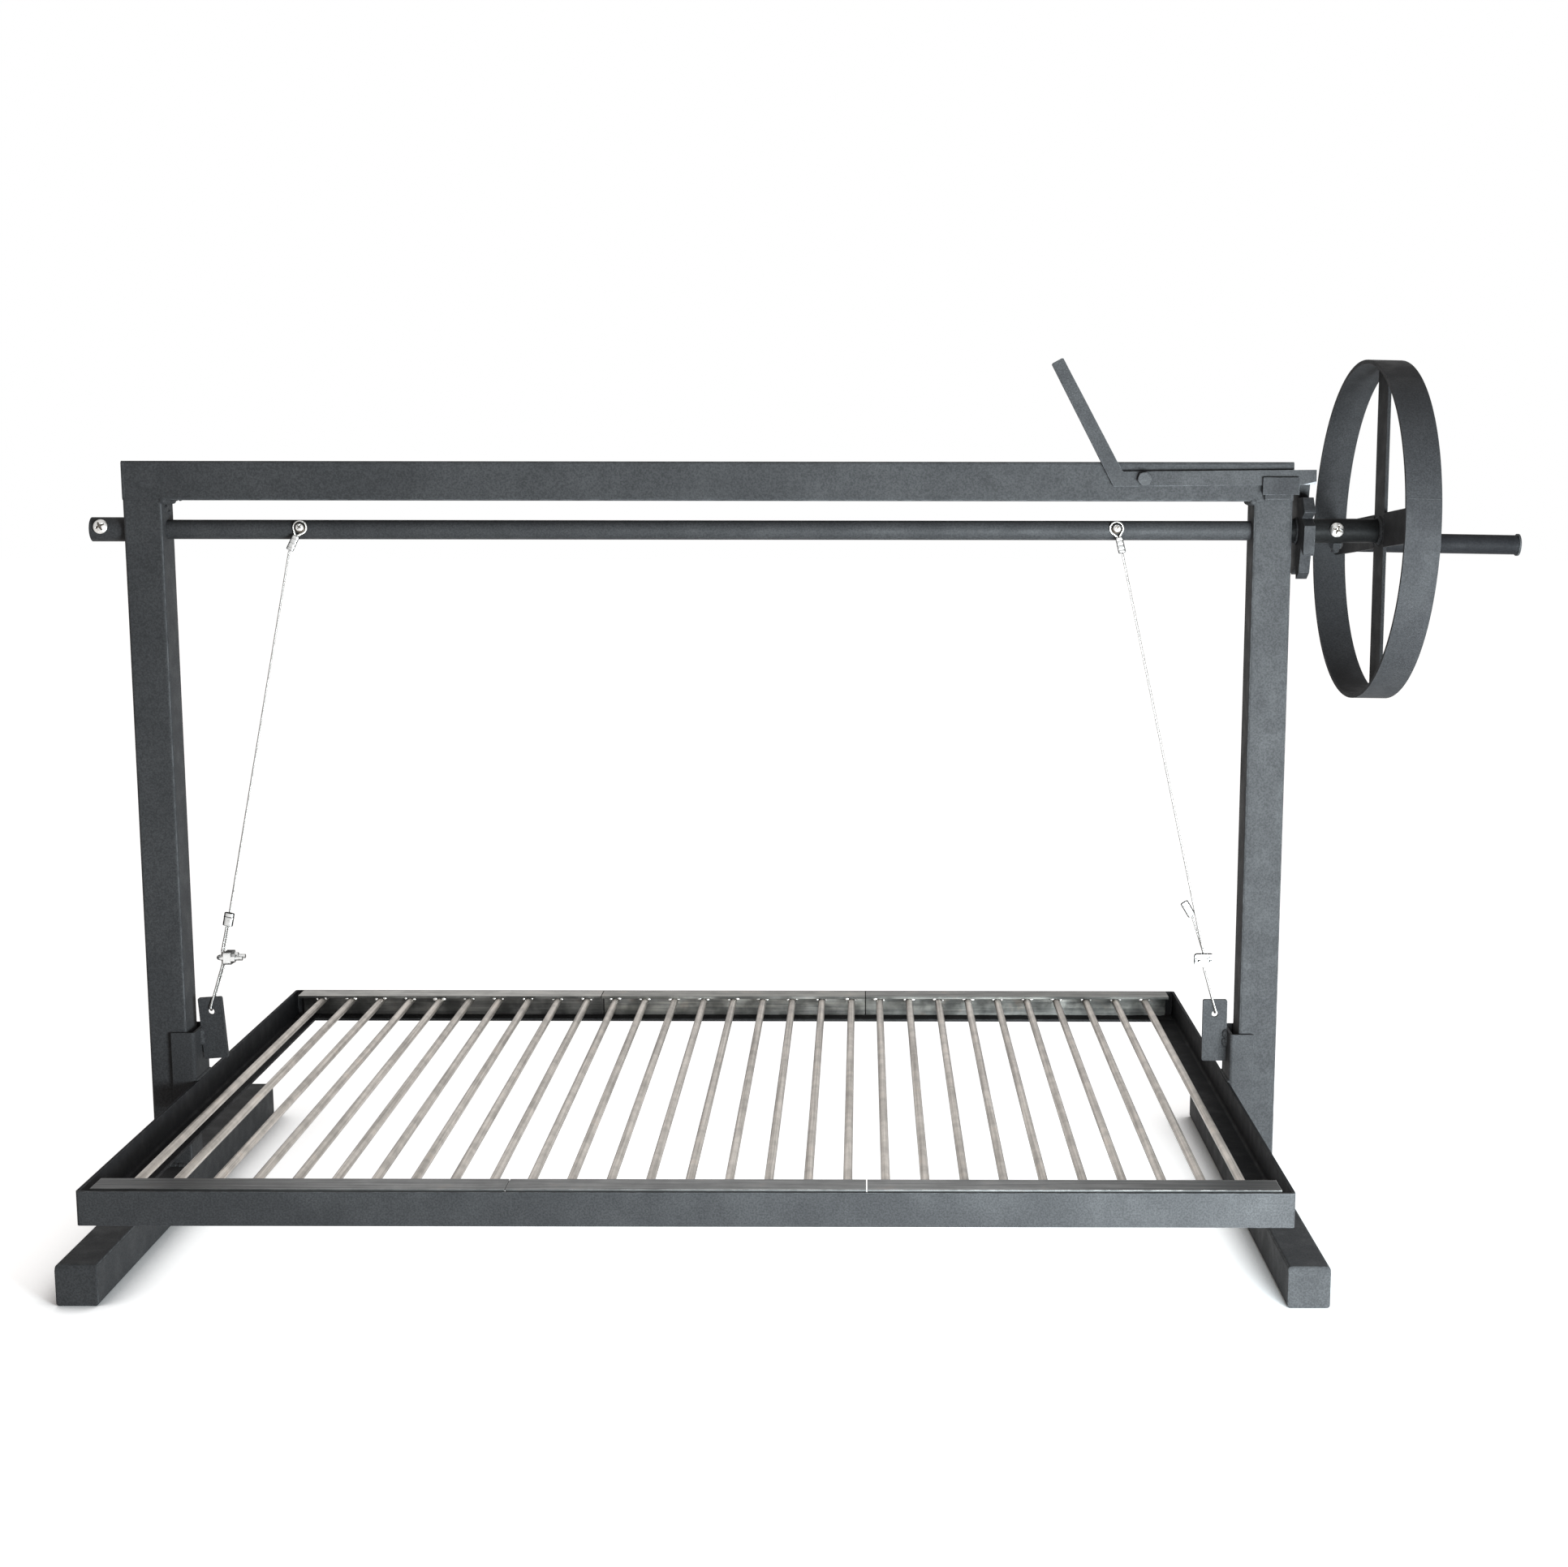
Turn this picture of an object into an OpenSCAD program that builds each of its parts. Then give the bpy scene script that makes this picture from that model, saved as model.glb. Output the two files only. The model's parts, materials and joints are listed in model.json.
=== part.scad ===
// Asado grill on a lifting frame. A goalpost of square tube carries a cross shaft, which a
// hand wheel turns. Two wire ropes hang from the shaft and lift a tray of angle iron that
// slides on the posts. A ratchet wheel and a falling lever hold the shaft. Three loose
// grates of round bar lie in the tray.
// Millimetres. X runs along the beam, Y to the back and Z up. The origin lies on the
// ground, in the middle of the box round the whole grill.

/* [Frame] */
// Width over the two posts
frame_w = 1200; // [1000:10:1500]
// Height from the ground to the top of the beam
frame_h = 788; // [700:2:900]
// Side of the square tube of the posts, the beam and the feet
tube = 40; // [36:1:46]
// Wall of the square tube
tube_wall = 2.5; // [2:0.5:4]
// Outer corner radius of the square tube
tube_corner = 3; // [1:0.5:5]
// Length of each foot
foot_l = 630; // [560:10:760]
// How far the middle of each foot stands in front of its post
foot_forward = 8; // [0:1:20]
// Thickness of the plates that close the tube ends
cap_t = 3; // [2:0.5:5]
// Height of the ground-off bevel on the ends of the feet
cap_bevel = 6; // [2:0.5:10]

/* [Shaft] */
// Diameter of the cross shaft
shaft_d = 20; // [16:1:24]
// Depth of the shaft's axis below the beam
shaft_drop = 30; // [29.5:0.5:34]
// Radial play of the shaft in the posts
shaft_play = 0.05; // [0.02:0.01:0.1]
// Wall of the sleeves on the shaft
sleeve_wall = 2.5; // [2:0.5:4]
// Length of the end collar
collar_l = 38; // [30:1:50]
// Length of the hub sleeve, from the post to the wheel
hub_l = 92; // [86:1:120]
// Side play between a post and the sleeve next to it
end_play = 0.5; // [0.3:0.1:1]
// Diameter of the round-headed screws in the sleeves
lock_head_d = 15; // [12:0.5:16]
// Diameter of the shank of those screws
lock_shank_d = 6; // [5:0.5:8]

/* [Ratchet] */
// Number of teeth
teeth = 7; // [5:1:9]
// Radius at the tooth tips
tip_r = 50; // [46:0.5:53]
// Radius at the tooth roots
root_r = 35; // [30:0.5:40]
// Thickness of the ratchet wheel
ratchet_t = 11; // [6:0.5:14]
// Distance from the post to the ratchet wheel
ratchet_gap = 7; // [4:0.5:10]
// Angle of the notch's upper tooth above the front
notch_angle = 74; // [70:0.5:76]

/* [Pawl lever] */
// Width of the lever's flat bar
lever_w = 15; // [12:0.5:18]
// Thickness of the lever's flat bar
lever_t = 5; // [4:0.5:6]
// Length of the handle arm along its outer edge
lever_arm_l = 139; // [100:1:160]
// Slope of the handle arm, from the bar's line
lever_arm_angle = 117.5; // [100:0.5:135]
// Distance from the post's outer side to the pivot
lever_reach = 154; // [130:1:180]
// Diameter of the pivot bolt
pivot_d = 8; // [6:0.5:10]
// Clearance of the raised bar over the tooth tips
lever_lift = 1.6; // [1:0.1:3]
// Slope of the bar when it is raised just clear of the teeth
lever_slope = 0.6; // [0:0.1:1]
// Side clearance between the bar and what it swings past
lever_side = 0.5; // [0.3:0.1:0.8]
// How far the bar drops, in degrees, to lie on its rest
lever_drop = 2.9; // [2:0.1:3.2]
// Width of the keeper plate in front of the bar
keeper_w = 37; // [30:1:50]
// Height of the keeper plate
keeper_h = 17.5; // [14:0.5:20]
// Thickness of the keeper plate
keeper_t = 3.5; // [3:0.5:5]

/* [Hand wheel] */
// Outer radius of the rim
wheel_r = 173; // [150:1:190]
// Width of the flat bar of the rim and the spokes
rim_w = 35; // [25:1:40]
// Thickness of the rim
rim_t = 4; // [3:0.5:6]
// Thickness of the spokes
spoke_t = 3.5; // [3:0.5:5]
// How far the rim stands nearer to the frame than the spokes
rim_shift = 8; // [0:0.5:10]
// Turn of the spokes from upright
wheel_turn = 4.5; // [0:0.5:20]
// How far the wheel is welded out of square with its shaft, in plan
wheel_skew = 3; // [0:0.5:4]
// How far the top of the wheel leans away from the frame
wheel_lean = 1; // [0:0.1:2]
// Radius at which the crank pin stands
crank_r = 140; // [110:1:145]
// How far the crank pin stands below the middle of its spoke
crank_drop = 4.5; // [0:0.1:8]
// Diameter of the crank pin
pin_d = 16; // [12:0.5:17]
// Length of the grip tube
grip_l = 190; // [100:1:200]
// Outer diameter of the grip tube
grip_d = 21.3; // [19:0.1:27]
// Radial play of the grip on its pin
grip_play = 0.06; // [0.03:0.01:0.1]
// Diameter of the washer that keeps the grip on
washer_d = 24.2; // [23:0.1:32]
// Thickness of that washer
washer_t = 2; // [1.5:0.5:4]

/* [Tray] */
// Depth of the tray, front to back
tray_l = 790; // [700:10:900]
// Height of the tray's underside above the ground, lowered
tray_z = 104; // [80:1:140]
// Height of the upright leg of the tray's angle iron
tray_leg = 32; // [25:1:40]
// Depth of the ledge of the tray's angle iron
tray_ledge = 30; // [25:1:40]
// Thickness of the tray's angle iron
tray_t = 3; // [2.5:0.5:5]
// Inner radius of the tray's angle iron
tray_fillet = 3; // [1:0.5:4]
// Radius of the tray's ground-off corners
tray_corner = 3; // [1:0.5:5]

/* [Guides and hangers] */
// Gap between a post and the web of its guide
guide_gap = 7; // [5:0.5:10]
// Thickness of the guides
guide_t = 3; // [2:0.5:4]
// Length of the guides' flanges
guide_flange = 25; // [20:1:30]
// Height of the guides
guide_h = 84; // [70:1:110]
// Play between a post and each flange
guide_play = 3; // [1:0.5:5]
// Width of a hanger plate
hanger_w = 26; // [20:1:34]
// Height of a hanger plate
hanger_h = 67; // [60:1:90]
// Thickness of a hanger plate
hanger_t = 4; // [3:0.5:6]
// Height of a hanger plate's foot above the tray's underside
hanger_up = 49.5; // [40:0.5:60]
// Diameter of the rope hole
hole_d = 7; // [6:0.5:9]
// Depth of the rope hole below the hanger's top
hole_in = 15.5; // [10:0.5:20]
// How far the left hanger plate leans out of upright
hanger_lean = 3.9; // [0:0.1:5]

/* [Grates] */
// Number of bars in each outer grate
outer_bars = 10; // [6:1:14]
// Number of bars in the middle grate
middle_bars = 9; // [6:1:14]
// Diameter of the bars
bar_d = 8.5; // [6:0.5:10]
// Leg of the grates' angle iron, both ways
grate_leg = 30; // [24:1:36]
// Thickness of the grates' angle iron
grate_t = 3; // [2:0.5:4]
// Inner radius of the grates' angle iron, where the bars stop
grate_fillet = 1.5; // [1:0.5:3]
// Gap between the tray and the grates' ends
side_gap = 8.5; // [4:0.5:15]
// Gap between the tray and the grates, front and back
front_gap = 3; // [1:0.5:6]
// Gap between two grates
seam_gap = 1; // [0.5:0.5:4]
// Distance from the last bar to a grate's end, at a seam
seam_margin = 17; // [12:0.5:20]
// Distance from the last bar to a grate's end, at the tray
end_margin = 29; // [20:0.5:40]

/* [Wire ropes] */
// Diameter of the wire rope
rope_d = 2.2; // [1.5:0.1:3]
// How far each rope's top stands in from its hanger hole
rope_lean = 116; // [60:1:140]
// Angle of the rope anchors above the front of the shaft
anchor_angle = 12; // [0:1:20]
// Radius of the rope eyes, to the middle of the rope
eye_r = 6.6; // [5.5:0.1:7]
// Length of the ferrules at the eyes
ferrule_l = 16; // [12:0.5:17]
// Width of the ferrules
ferrule_w = 7.5; // [6.5:0.5:9]
// Thickness of the ferrules
ferrule_t = 4.5; // [4:0.25:5]
// Height of the rope clips above the hanger holes
clip_up = 60; // [50:1:75]
// Diameter of the rod of the clips' U-bolts
clip_rod = 4.5; // [4:0.25:5]

/* [Hidden] */
$fn = 48;

black = [0.14, 0.14, 0.15];
dark_steel = [0.22, 0.22, 0.23];
bare_steel = [0.58, 0.56, 0.53];
bright = [0.82, 0.82, 0.80];

// Frame places
post_x = frame_w / 2 - tube / 2;
post_h = frame_h - 2 * tube;
bore_r = tube_corner > tube_wall ? tube_corner - tube_wall + 0.5 : 0.5;
shaft_z = frame_h - tube - shaft_drop;
shaft_r = shaft_d / 2;
sleeve_r = shaft_r + sleeve_wall;
fit = 0.03;

// The wheel's plane is the middle of its spokes
wheel_slant = sqrt(1 - pow(cos(wheel_skew) * cos(wheel_lean), 2));
wheel_x = frame_w / 2 + end_play + hub_l + spoke_t / 2 + sleeve_r * wheel_slant;
rim_in_r = wheel_r - rim_t;
grip_start = spoke_t / 2 + end_play;
washer_x = grip_start + grip_l + end_play;
pin_end = washer_x + washer_t + 1.5;
collar_end = frame_w / 2 + end_play + collar_l;
crank_y = crank_r * cos(wheel_turn) - crank_drop * sin(wheel_turn);
crank_z = -crank_r * sin(wheel_turn) - crank_drop * cos(wheel_turn);
grip_end = wheel_x + (pin_end * cos(wheel_lean) + crank_z * sin(wheel_lean)) * cos(wheel_skew)
    - crank_y * sin(wheel_skew) + (pin_d / 2 - 1) * wheel_slant;
mid_x = (grip_end - collar_end) / 2;

// Ratchet and lever places
ratchet_x = frame_w / 2 + ratchet_gap;
lever_y = tube / 2 + lever_side;
pivot_x = frame_w / 2 - lever_reach;
pivot_to_ratchet = ratchet_x + ratchet_t / 2 - pivot_x;
tip_top = shaft_z + sqrt(tip_r * tip_r - lever_y * lever_y);
pivot_z = tip_top + lever_lift + lever_w / 2 / cos(lever_slope)
    - pivot_to_ratchet * tan(lever_slope);
lever_end = ratchet_x + ratchet_t + 4 - pivot_x;
lever_tail = 31;
keeper_y = lever_y + lever_t + lever_side;
keeper_x = frame_w / 2 - 33;
spacer_x = keeper_x + 3;
spacer_w = keeper_w - 10;
rest_z = pivot_z - lever_w / 2 / cos(lever_drop - lever_slope)
    - (spacer_x + spacer_w - pivot_x) * tan(lever_drop - lever_slope) - 0.4;

// Tray, guide and hanger places
tray_w = frame_w - 2 * (tube + guide_gap + guide_t);
hole_x = tray_w / 2 - hanger_w / 2;
hanger_z = tray_z + hanger_up;
hole_z = hanger_z + hanger_h - hole_in;
lean_z = tray_z + guide_h;

// Grate places: the bars share the width that the margins leave
grates_w = tray_w - 2 * tray_t - 2 * side_gap;
steps = 2 * (outer_bars - 1) + middle_bars - 1;
bar_pitch = (grates_w - 2 * end_margin - 4 * seam_margin - 2 * seam_gap) / steps;
outer_w = end_margin + (outer_bars - 1) * bar_pitch + seam_margin;
middle_w = 2 * seam_margin + (middle_bars - 1) * bar_pitch;
grate_l = tray_l - 2 * tray_t - 2 * front_gap;
grate_z = tray_z + tray_t;
left_grate_x = -grates_w / 2;
middle_grate_x = left_grate_x + outer_w + seam_gap;
right_grate_x = middle_grate_x + middle_w + seam_gap;

// Rope places. An eye lies round its screw, square to it, and its ferrule hangs below.
eye_out = shaft_r + rope_d / 2 + 0.1;
ferrule_top = eye_r + 3;
ferrule_end = ferrule_top + ferrule_l;
anchor_x = hole_x - rope_lean;
left_tilt = 24;
right_tilt = 12;
clip_in = 14;
rope_side = rope_d / 2 + 0.05;
loop_r = hanger_t / 2 + rope_d - 0.2;
loop_z = hole_z + hole_d / 2 + sqrt(pow(loop_r - rope_d / 2 - 0.3, 2) - pow(hanger_t / 2, 2));
clip_half = 6.5;

function lean_x(p, a) = [p[0], p[1] * cos(a) - p[2] * sin(a), p[1] * sin(a) + p[2] * cos(a)];
function shaft_point(x, a, p) = [x, 0, shaft_z] + lean_x(p, -a);
function eye_point(x, tilt, down) =
    shaft_point(x, anchor_angle, [-down * sin(tilt), -eye_out, -down * cos(tilt)]);
function unit(v) = v / norm(v);
function between(a, b, n) = [for (i = [0 : n - 1]) a + (b - a) * i / n];

// Clip and loop points, for the rope on the side s (-1 left, 1 right)
function clip_mid(s) = [s * (hole_x - clip_in), 0, hole_z + clip_up];
function hole_mid(s) = s > 0 ? [hole_x, 0, hole_z]
    : [-tray_w / 2 + (tray_w / 2 - hole_x) * cos(hanger_lean) - (hole_z - lean_z) * sin(hanger_lean), 0,
        lean_z + (tray_w / 2 - hole_x) * sin(hanger_lean) + (hole_z - lean_z) * cos(hanger_lean)];
function loop_path(s, w, front_top, rear_top) =
    let (c = clip_mid(s), h = hole_mid(s) + [0, 0, loop_z - hole_z], up = [0, 0, clip_half + 0.5],
        front = -rope_side * w, rear = rope_side * w)
    concat(
        between(front_top, c + up + front, 5),
        between(c + up + front, c - up + front, 3),
        between(c - up + front, h + [0, -loop_r, 0], 9),
        [for (a = [0 : 22.5 : 180]) h + loop_r * [0, -cos(a), -sin(a)]],
        [for (i = [1 : 9]) h + [0, loop_r, 0] + (c - up + rear - h - [0, loop_r, 0]) * i / 9],
        between(c - up + rear, c + up + rear, 3),
        between(c + up + rear, rear_top, 5),
        [rear_top]);

// Upper ends of the strands below the left sleeve, of the cut end and of the right rope
left_top = clip_mid(-1) + [6, 0, 34];
right_tail = clip_mid(1) + [-12.5, 3, 46];
right_top = clip_mid(1) + [-1.2, -rope_side, 12];
sleeve_l = 14;
sleeve_tilt = 11;
tail_l = 17;
tail_tilt = 31;

// Square tube section, standing on the middle of its width
module rounded(w, h, r) {
    translate([-w / 2 + r, -h / 2]) square([w - 2 * r, h]);
    translate([-w / 2, -h / 2 + r]) square([w, h - 2 * r]);
    for (x = [-1, 1]) {
        for (y = [-1, 1]) {
            translate([x * (w / 2 - r), y * (h / 2 - r)]) circle(r);
        }
    }
}

module tube_length(l) {
    linear_extrude(l) difference() {
        rounded(tube, tube, tube_corner);
        rounded(tube - 2 * tube_wall, tube - 2 * tube_wall, bore_r);
    }
}

// Upright leg on the outside, ledge inwards, with the rolled fillet between them
module angle_section(leg, ledge, t, fillet) {
    square([t, leg]);
    square([ledge, t]);
    difference() {
        translate([t, t]) square(fillet);
        translate([t + fillet, t + fillet]) circle(fillet);
    }
}

// Runs a section drawn in Y and Z along X
module along_x(l) {
    rotate([90, 0, 90]) linear_extrude(l) children();
}

module mirrored(s) {
    if (s < 0) {
        mirror([1, 0, 0]) children();
    } else {
        children();
    }
}

module placed() {
    translate([-mid_x, 0, 0]) children();
}

module rod_between(a, b, d) {
    v = b - a;
    tilt = acos(v[2] / norm(v));
    turn = atan2(v[1], v[0]);
    translate(a) rotate([0, tilt, turn]) cylinder(d = d, h = norm(v), $fn = 24);
}

// A round tube of d swept along the points p, its rings turned from the side direction
module rope_along(p, d, side) {
    n = 8;
    last = len(p) - 1;
    rings = [for (i = [0 : last])
        let (t = unit(p[min(i + 1, last)] - p[max(i - 1, 0)]), u = unit(cross(t, side)), v = cross(t, u))
        for (k = [0 : n - 1]) p[i] + d / 2 * (cos(k * 360 / n) * u + sin(k * 360 / n) * v)];
    walls = [for (i = [0 : last - 1]) for (k = [0 : n - 1])
        let (a = i * n + k, b = i * n + (k + 1) % n)
        each [[a, a + n, b], [b, a + n, b + n]]];
    first_cap = [for (k = [0 : n - 1]) k];
    last_cap = [for (k = [n - 1 : -1 : 0]) last * n + k];
    polyhedron(points = rings, faces = concat(walls, [first_cap, last_cap]));
}

// Round-headed screw with a cross recess, pointing to -Y, its head's underside at y = 0
module pan_screw(head_d, head_h, shank_d, shank_l) {
    rotate([90, 0, 0]) {
        difference() {
            rotate_extrude() intersection() {
                translate([0, head_h - head_d * 0.7]) circle(head_d * 0.7);
                square([head_d / 2, head_h]);
            }
            for (a = [0, 90]) {
                rotate([0, 0, a + 20]) translate([-head_d / 4, -head_d / 18, head_h - 1.4])
                    cube([head_d / 2, head_d / 9, 3]);
            }
        }
        translate([0, 0, -shank_l]) cylinder(d = shank_d, h = shank_l + 0.5);
    }
}

// Hexagon across the flats f, with chamfered corners on one side
module hexagon_head(f, h) {
    intersection() {
        cylinder(d = f / cos(30), h = h, $fn = 6);
        union() {
            cylinder(d = f * 1.2, h = h * 0.75);
            translate([0, 0, h * 0.75]) cylinder(d1 = f * 1.2, d2 = f * 0.98, h = h * 0.25);
        }
    }
}

// Posts, beam and feet
module post(s) {
    translate([s * post_x, 0, tube]) difference() {
        tube_length(post_h);
        translate([0, 0, shaft_z - tube]) rotate([0, 90, 0])
            cylinder(r = shaft_r + shaft_play, h = tube + 2, center = true);
    }
}

module left_post() {
    color(black) placed() post(-1);
}

module right_post() {
    color(black) placed() post(1);
}

module top_beam() {
    color(black) placed() difference() {
        translate([-frame_w / 2 + cap_t, 0, frame_h - tube / 2]) rotate([90, 0, 90])
            tube_length(frame_w - 2 * cap_t);
        translate([pivot_x, -tube / 2 - 1, pivot_z]) rotate([-90, 0, 0])
            cylinder(d = pivot_d + 2 * fit, h = tube_wall + 2);
    }
}

module foot(s) {
    translate([s * post_x, foot_l / 2 - cap_t - foot_forward, tube / 2]) rotate([90, 0, 0])
        tube_length(foot_l - 2 * cap_t);
}

module left_foot() {
    color(black) placed() foot(-1);
}

module right_foot() {
    color(black) placed() foot(1);
}

module beam_end_caps() {
    color(black) placed() for (s = [-1, 1]) {
        translate([s * (frame_w / 2 - cap_t / 2), 0, frame_h - tube / 2]) rotate([90, 0, 90])
            linear_extrude(cap_t, center = true) rounded(tube, tube, tube_corner);
    }
}

// The upper edge of each foot's end plate is ground off
module foot_end_caps() {
    color(black) placed() for (x = [-1, 1]) {
        for (y = [-1, 1]) {
            translate([x * post_x, -foot_forward, tube / 2]) mirror([0, y > 0 ? 1 : 0, 0]) difference() {
                translate([0, -foot_l / 2 + cap_t / 2, 0]) rotate([90, 0, 0])
                    linear_extrude(cap_t, center = true) rounded(tube, tube, tube_corner);
                translate([-tube, -foot_l / 2, tube / 2]) along_x(2 * tube)
                    polygon([[-1, -cap_bevel], [0, -cap_bevel], [cap_t - 0.5, 0], [cap_t - 0.5, 1], [-1, 1]]);
            }
        }
    }
}

// Keeper of the lever: a plate in front of the bar, on a block under it
module pawl_keeper() {
    color(black) placed() translate([keeper_x, -keeper_y - keeper_t, rest_z - 2])
        cube([keeper_w, keeper_t, keeper_h]);
}

module keeper_spacer() {
    color(black) placed() translate([spacer_x, -keeper_y, rest_z - 6.5])
        cube([spacer_w, keeper_y - tube / 2, 6.5]);
}

module pawl_bolt() {
    head_gap = lever_y + lever_t + lever_side;
    color(bright) placed() translate([pivot_x, -head_gap, pivot_z]) rotate([90, 0, 0]) {
        rotate([0, 0, 12]) hexagon_head(13, 5.3);
        translate([0, 0, -head_gap + tube / 2 - tube_wall - 9])
            cylinder(d = pivot_d, h = head_gap - tube / 2 + tube_wall + 9.5);
    }
}

// Wire ropes between their end fittings
module left_cable() {
    top = eye_point(-anchor_x, left_tilt, ferrule_end + 0.7);
    foot = left_top + (sleeve_l + 0.8) * [sin(sleeve_tilt), 0, cos(sleeve_tilt)];
    color(bright) placed() rod_between(foot, top, rope_d);
}

module right_cable() {
    top = eye_point(anchor_x, -right_tilt, ferrule_end + 0.7);
    color(bright) placed() rod_between(right_top + [-0.1, 0, 0.3], top, rope_d);
}

// Shaft and what is fixed on it
module on_shaft(x, a) {
    translate([x, 0, shaft_z]) rotate([-a, 0, 0]) children();
}

collar_screw_x = -collar_end + 12.5;
hub_screw_x = frame_w / 2 + 47;
lock_bolt_x = frame_w / 2 + 51;
collar_angle = 13;
screw_angle = 5;
lock_angle = -120;
hole_depth = 5;

module shaft_hole(x, a, d, depth) {
    on_shaft(x, a) translate([0, -shaft_r + depth, 0]) rotate([90, 0, 0])
        cylinder(d = d + 2 * fit, h = sleeve_r + 2);
}

module shaft() {
    l = frame_w / 2 + end_play + hub_l - 3;
    color(black) placed() difference() {
        translate([-collar_end, 0, shaft_z]) rotate([0, 90, 0]) cylinder(r = shaft_r, h = collar_end + l);
        shaft_hole(collar_screw_x, collar_angle, lock_shank_d, hole_depth);
        shaft_hole(hub_screw_x, screw_angle, lock_shank_d, hole_depth);
        shaft_hole(lock_bolt_x, lock_angle, 8, 1.5);
        for (s = [-1, 1]) {
            shaft_hole(s * anchor_x, anchor_angle, 6, 12);
        }
    }
}

module sleeve(x, l) {
    translate([x, 0, shaft_z]) rotate([0, 90, 0]) difference() {
        cylinder(r = sleeve_r, h = l);
        translate([0, 0, -1]) cylinder(r = shaft_r + fit, h = l + 2);
    }
}

module left_collar() {
    color(black) placed() difference() {
        sleeve(-collar_end, collar_l);
        shaft_hole(collar_screw_x, collar_angle, lock_shank_d, hole_depth);
    }
}

module hub_sleeve() {
    color(black) placed() difference() {
        sleeve(frame_w / 2 + end_play, hub_l);
        shaft_hole(hub_screw_x, screw_angle, lock_shank_d, hole_depth);
        shaft_hole(lock_bolt_x, lock_angle, 8, 1.5);
    }
}

module lock_screw(x, a) {
    on_shaft(x, a) translate([0, -sleeve_r, 0])
        pan_screw(lock_head_d, 5, lock_shank_d, sleeve_wall + hole_depth - 0.3);
}

module collar_screw() {
    color(bright) placed() lock_screw(collar_screw_x, collar_angle);
}

module hub_screw() {
    color(bright) placed() lock_screw(hub_screw_x, screw_angle);
}

// A nut welded on the hub, with a set bolt that bites into the shaft
module hub_lock_bolt() {
    color(dark_steel) placed() on_shaft(lock_bolt_x, lock_angle) rotate([90, 0, 0]) {
        difference() {
            translate([0, 0, sleeve_r - 1]) hexagon_head(13, 7.5);
            rotate([0, 90, 0]) cylinder(r = sleeve_r, h = 40, center = true);
        }
        translate([0, 0, shaft_r - 1.4]) cylinder(d = 8, h = sleeve_wall + 13.5);
    }
}

// Teeth of uneven width, cut by hand. Each back rises downwards on the front side and ends in a
// radial face.
module ratchet_wheel() {
    pitch = 360 / teeth;
    land = 3;
    cuts = [0.55, 0.3, 0.62];
    shoulder_r = root_r + (tip_r - root_r) * 0.88;
    outline = [for (i = [0 : teeth - 1])
        let (a = notch_angle - i * pitch, b = a - cuts[i % 3] * pitch)
        each [
            root_r * [-cos(a), sin(a)],
            shoulder_r * [-cos(b), sin(b)],
            tip_r * [-cos(a - pitch + land), sin(a - pitch + land)],
            tip_r * [-cos(a - pitch), sin(a - pitch)]
        ]];
    color(black) placed() translate([ratchet_x, 0, shaft_z]) along_x(ratchet_t) difference() {
        polygon(outline);
        circle(sleeve_r + fit);
    }
}

// Hand wheel, drawn about its own middle and then set on the shaft
module on_wheel() {
    translate([wheel_x, 0, shaft_z]) rotate([0, 0, wheel_skew]) rotate([0, wheel_lean, 0])
        rotate([-wheel_turn, 0, 0]) children();
}

module wheel_rim() {
    color(black) placed() on_wheel() translate([-rim_w / 2 - rim_shift, 0, 0]) rotate([0, 90, 0])
        difference() {
            cylinder(r = wheel_r, h = rim_w, $fn = 120);
            translate([0, 0, -1]) cylinder(r = rim_in_r, h = rim_w + 2, $fn = 120);
        }
}

module inside_rim() {
    intersection() {
        children();
        rotate([0, 90, 0]) cylinder(r = rim_in_r, h = rim_w, center = true, $fn = 120);
    }
}

module vertical_spoke() {
    color(black) placed() on_wheel() inside_rim() cube([spoke_t, rim_w, 2 * wheel_r], center = true);
}

module half_spoke(s) {
    on_wheel() inside_rim() translate([0, s * (rim_w / 2 + wheel_r / 2), 0])
        cube([spoke_t, wheel_r, rim_w], center = true);
}

module front_spoke() {
    color(black) placed() half_spoke(-1);
}

module rear_spoke() {
    color(black) placed() half_spoke(1);
}

module on_crank(x) {
    on_wheel() translate([x, crank_r, -crank_drop]) rotate([0, 90, 0]) children();
}

module crank_pin() {
    color(dark_steel) placed() on_crank(spoke_t / 2) {
        cylinder(d = pin_d, h = pin_end - spoke_t / 2 - 1);
        translate([0, 0, pin_end - spoke_t / 2 - 1]) cylinder(d1 = pin_d, d2 = pin_d - 2, h = 1);
    }
}

module crank_washer() {
    color(dark_steel) placed() on_crank(washer_x) difference() {
        cylinder(d = washer_d, h = washer_t);
        translate([0, 0, -1]) cylinder(d = pin_d + 2 * fit, h = washer_t + 2);
    }
}

module crank_grip() {
    color(black) placed() on_crank(grip_start) difference() {
        cylinder(d = grip_d, h = grip_l);
        translate([0, 0, -1]) cylinder(d = pin_d + 2 * grip_play, h = grip_l + 2);
    }
}

// Rope anchors on the shaft: a screw through a rope eye, and the ferrule that closes it
module anchor_screws() {
    color(bright) placed() for (s = [-1, 1]) {
        on_shaft(s * anchor_x, anchor_angle) translate([0, -eye_out - rope_d / 2 - 0.1, 0])
            pan_screw(2 * (eye_r - rope_d / 2) + 0.4, 3.6, 6, 12 + rope_d);
    }
}

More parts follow.
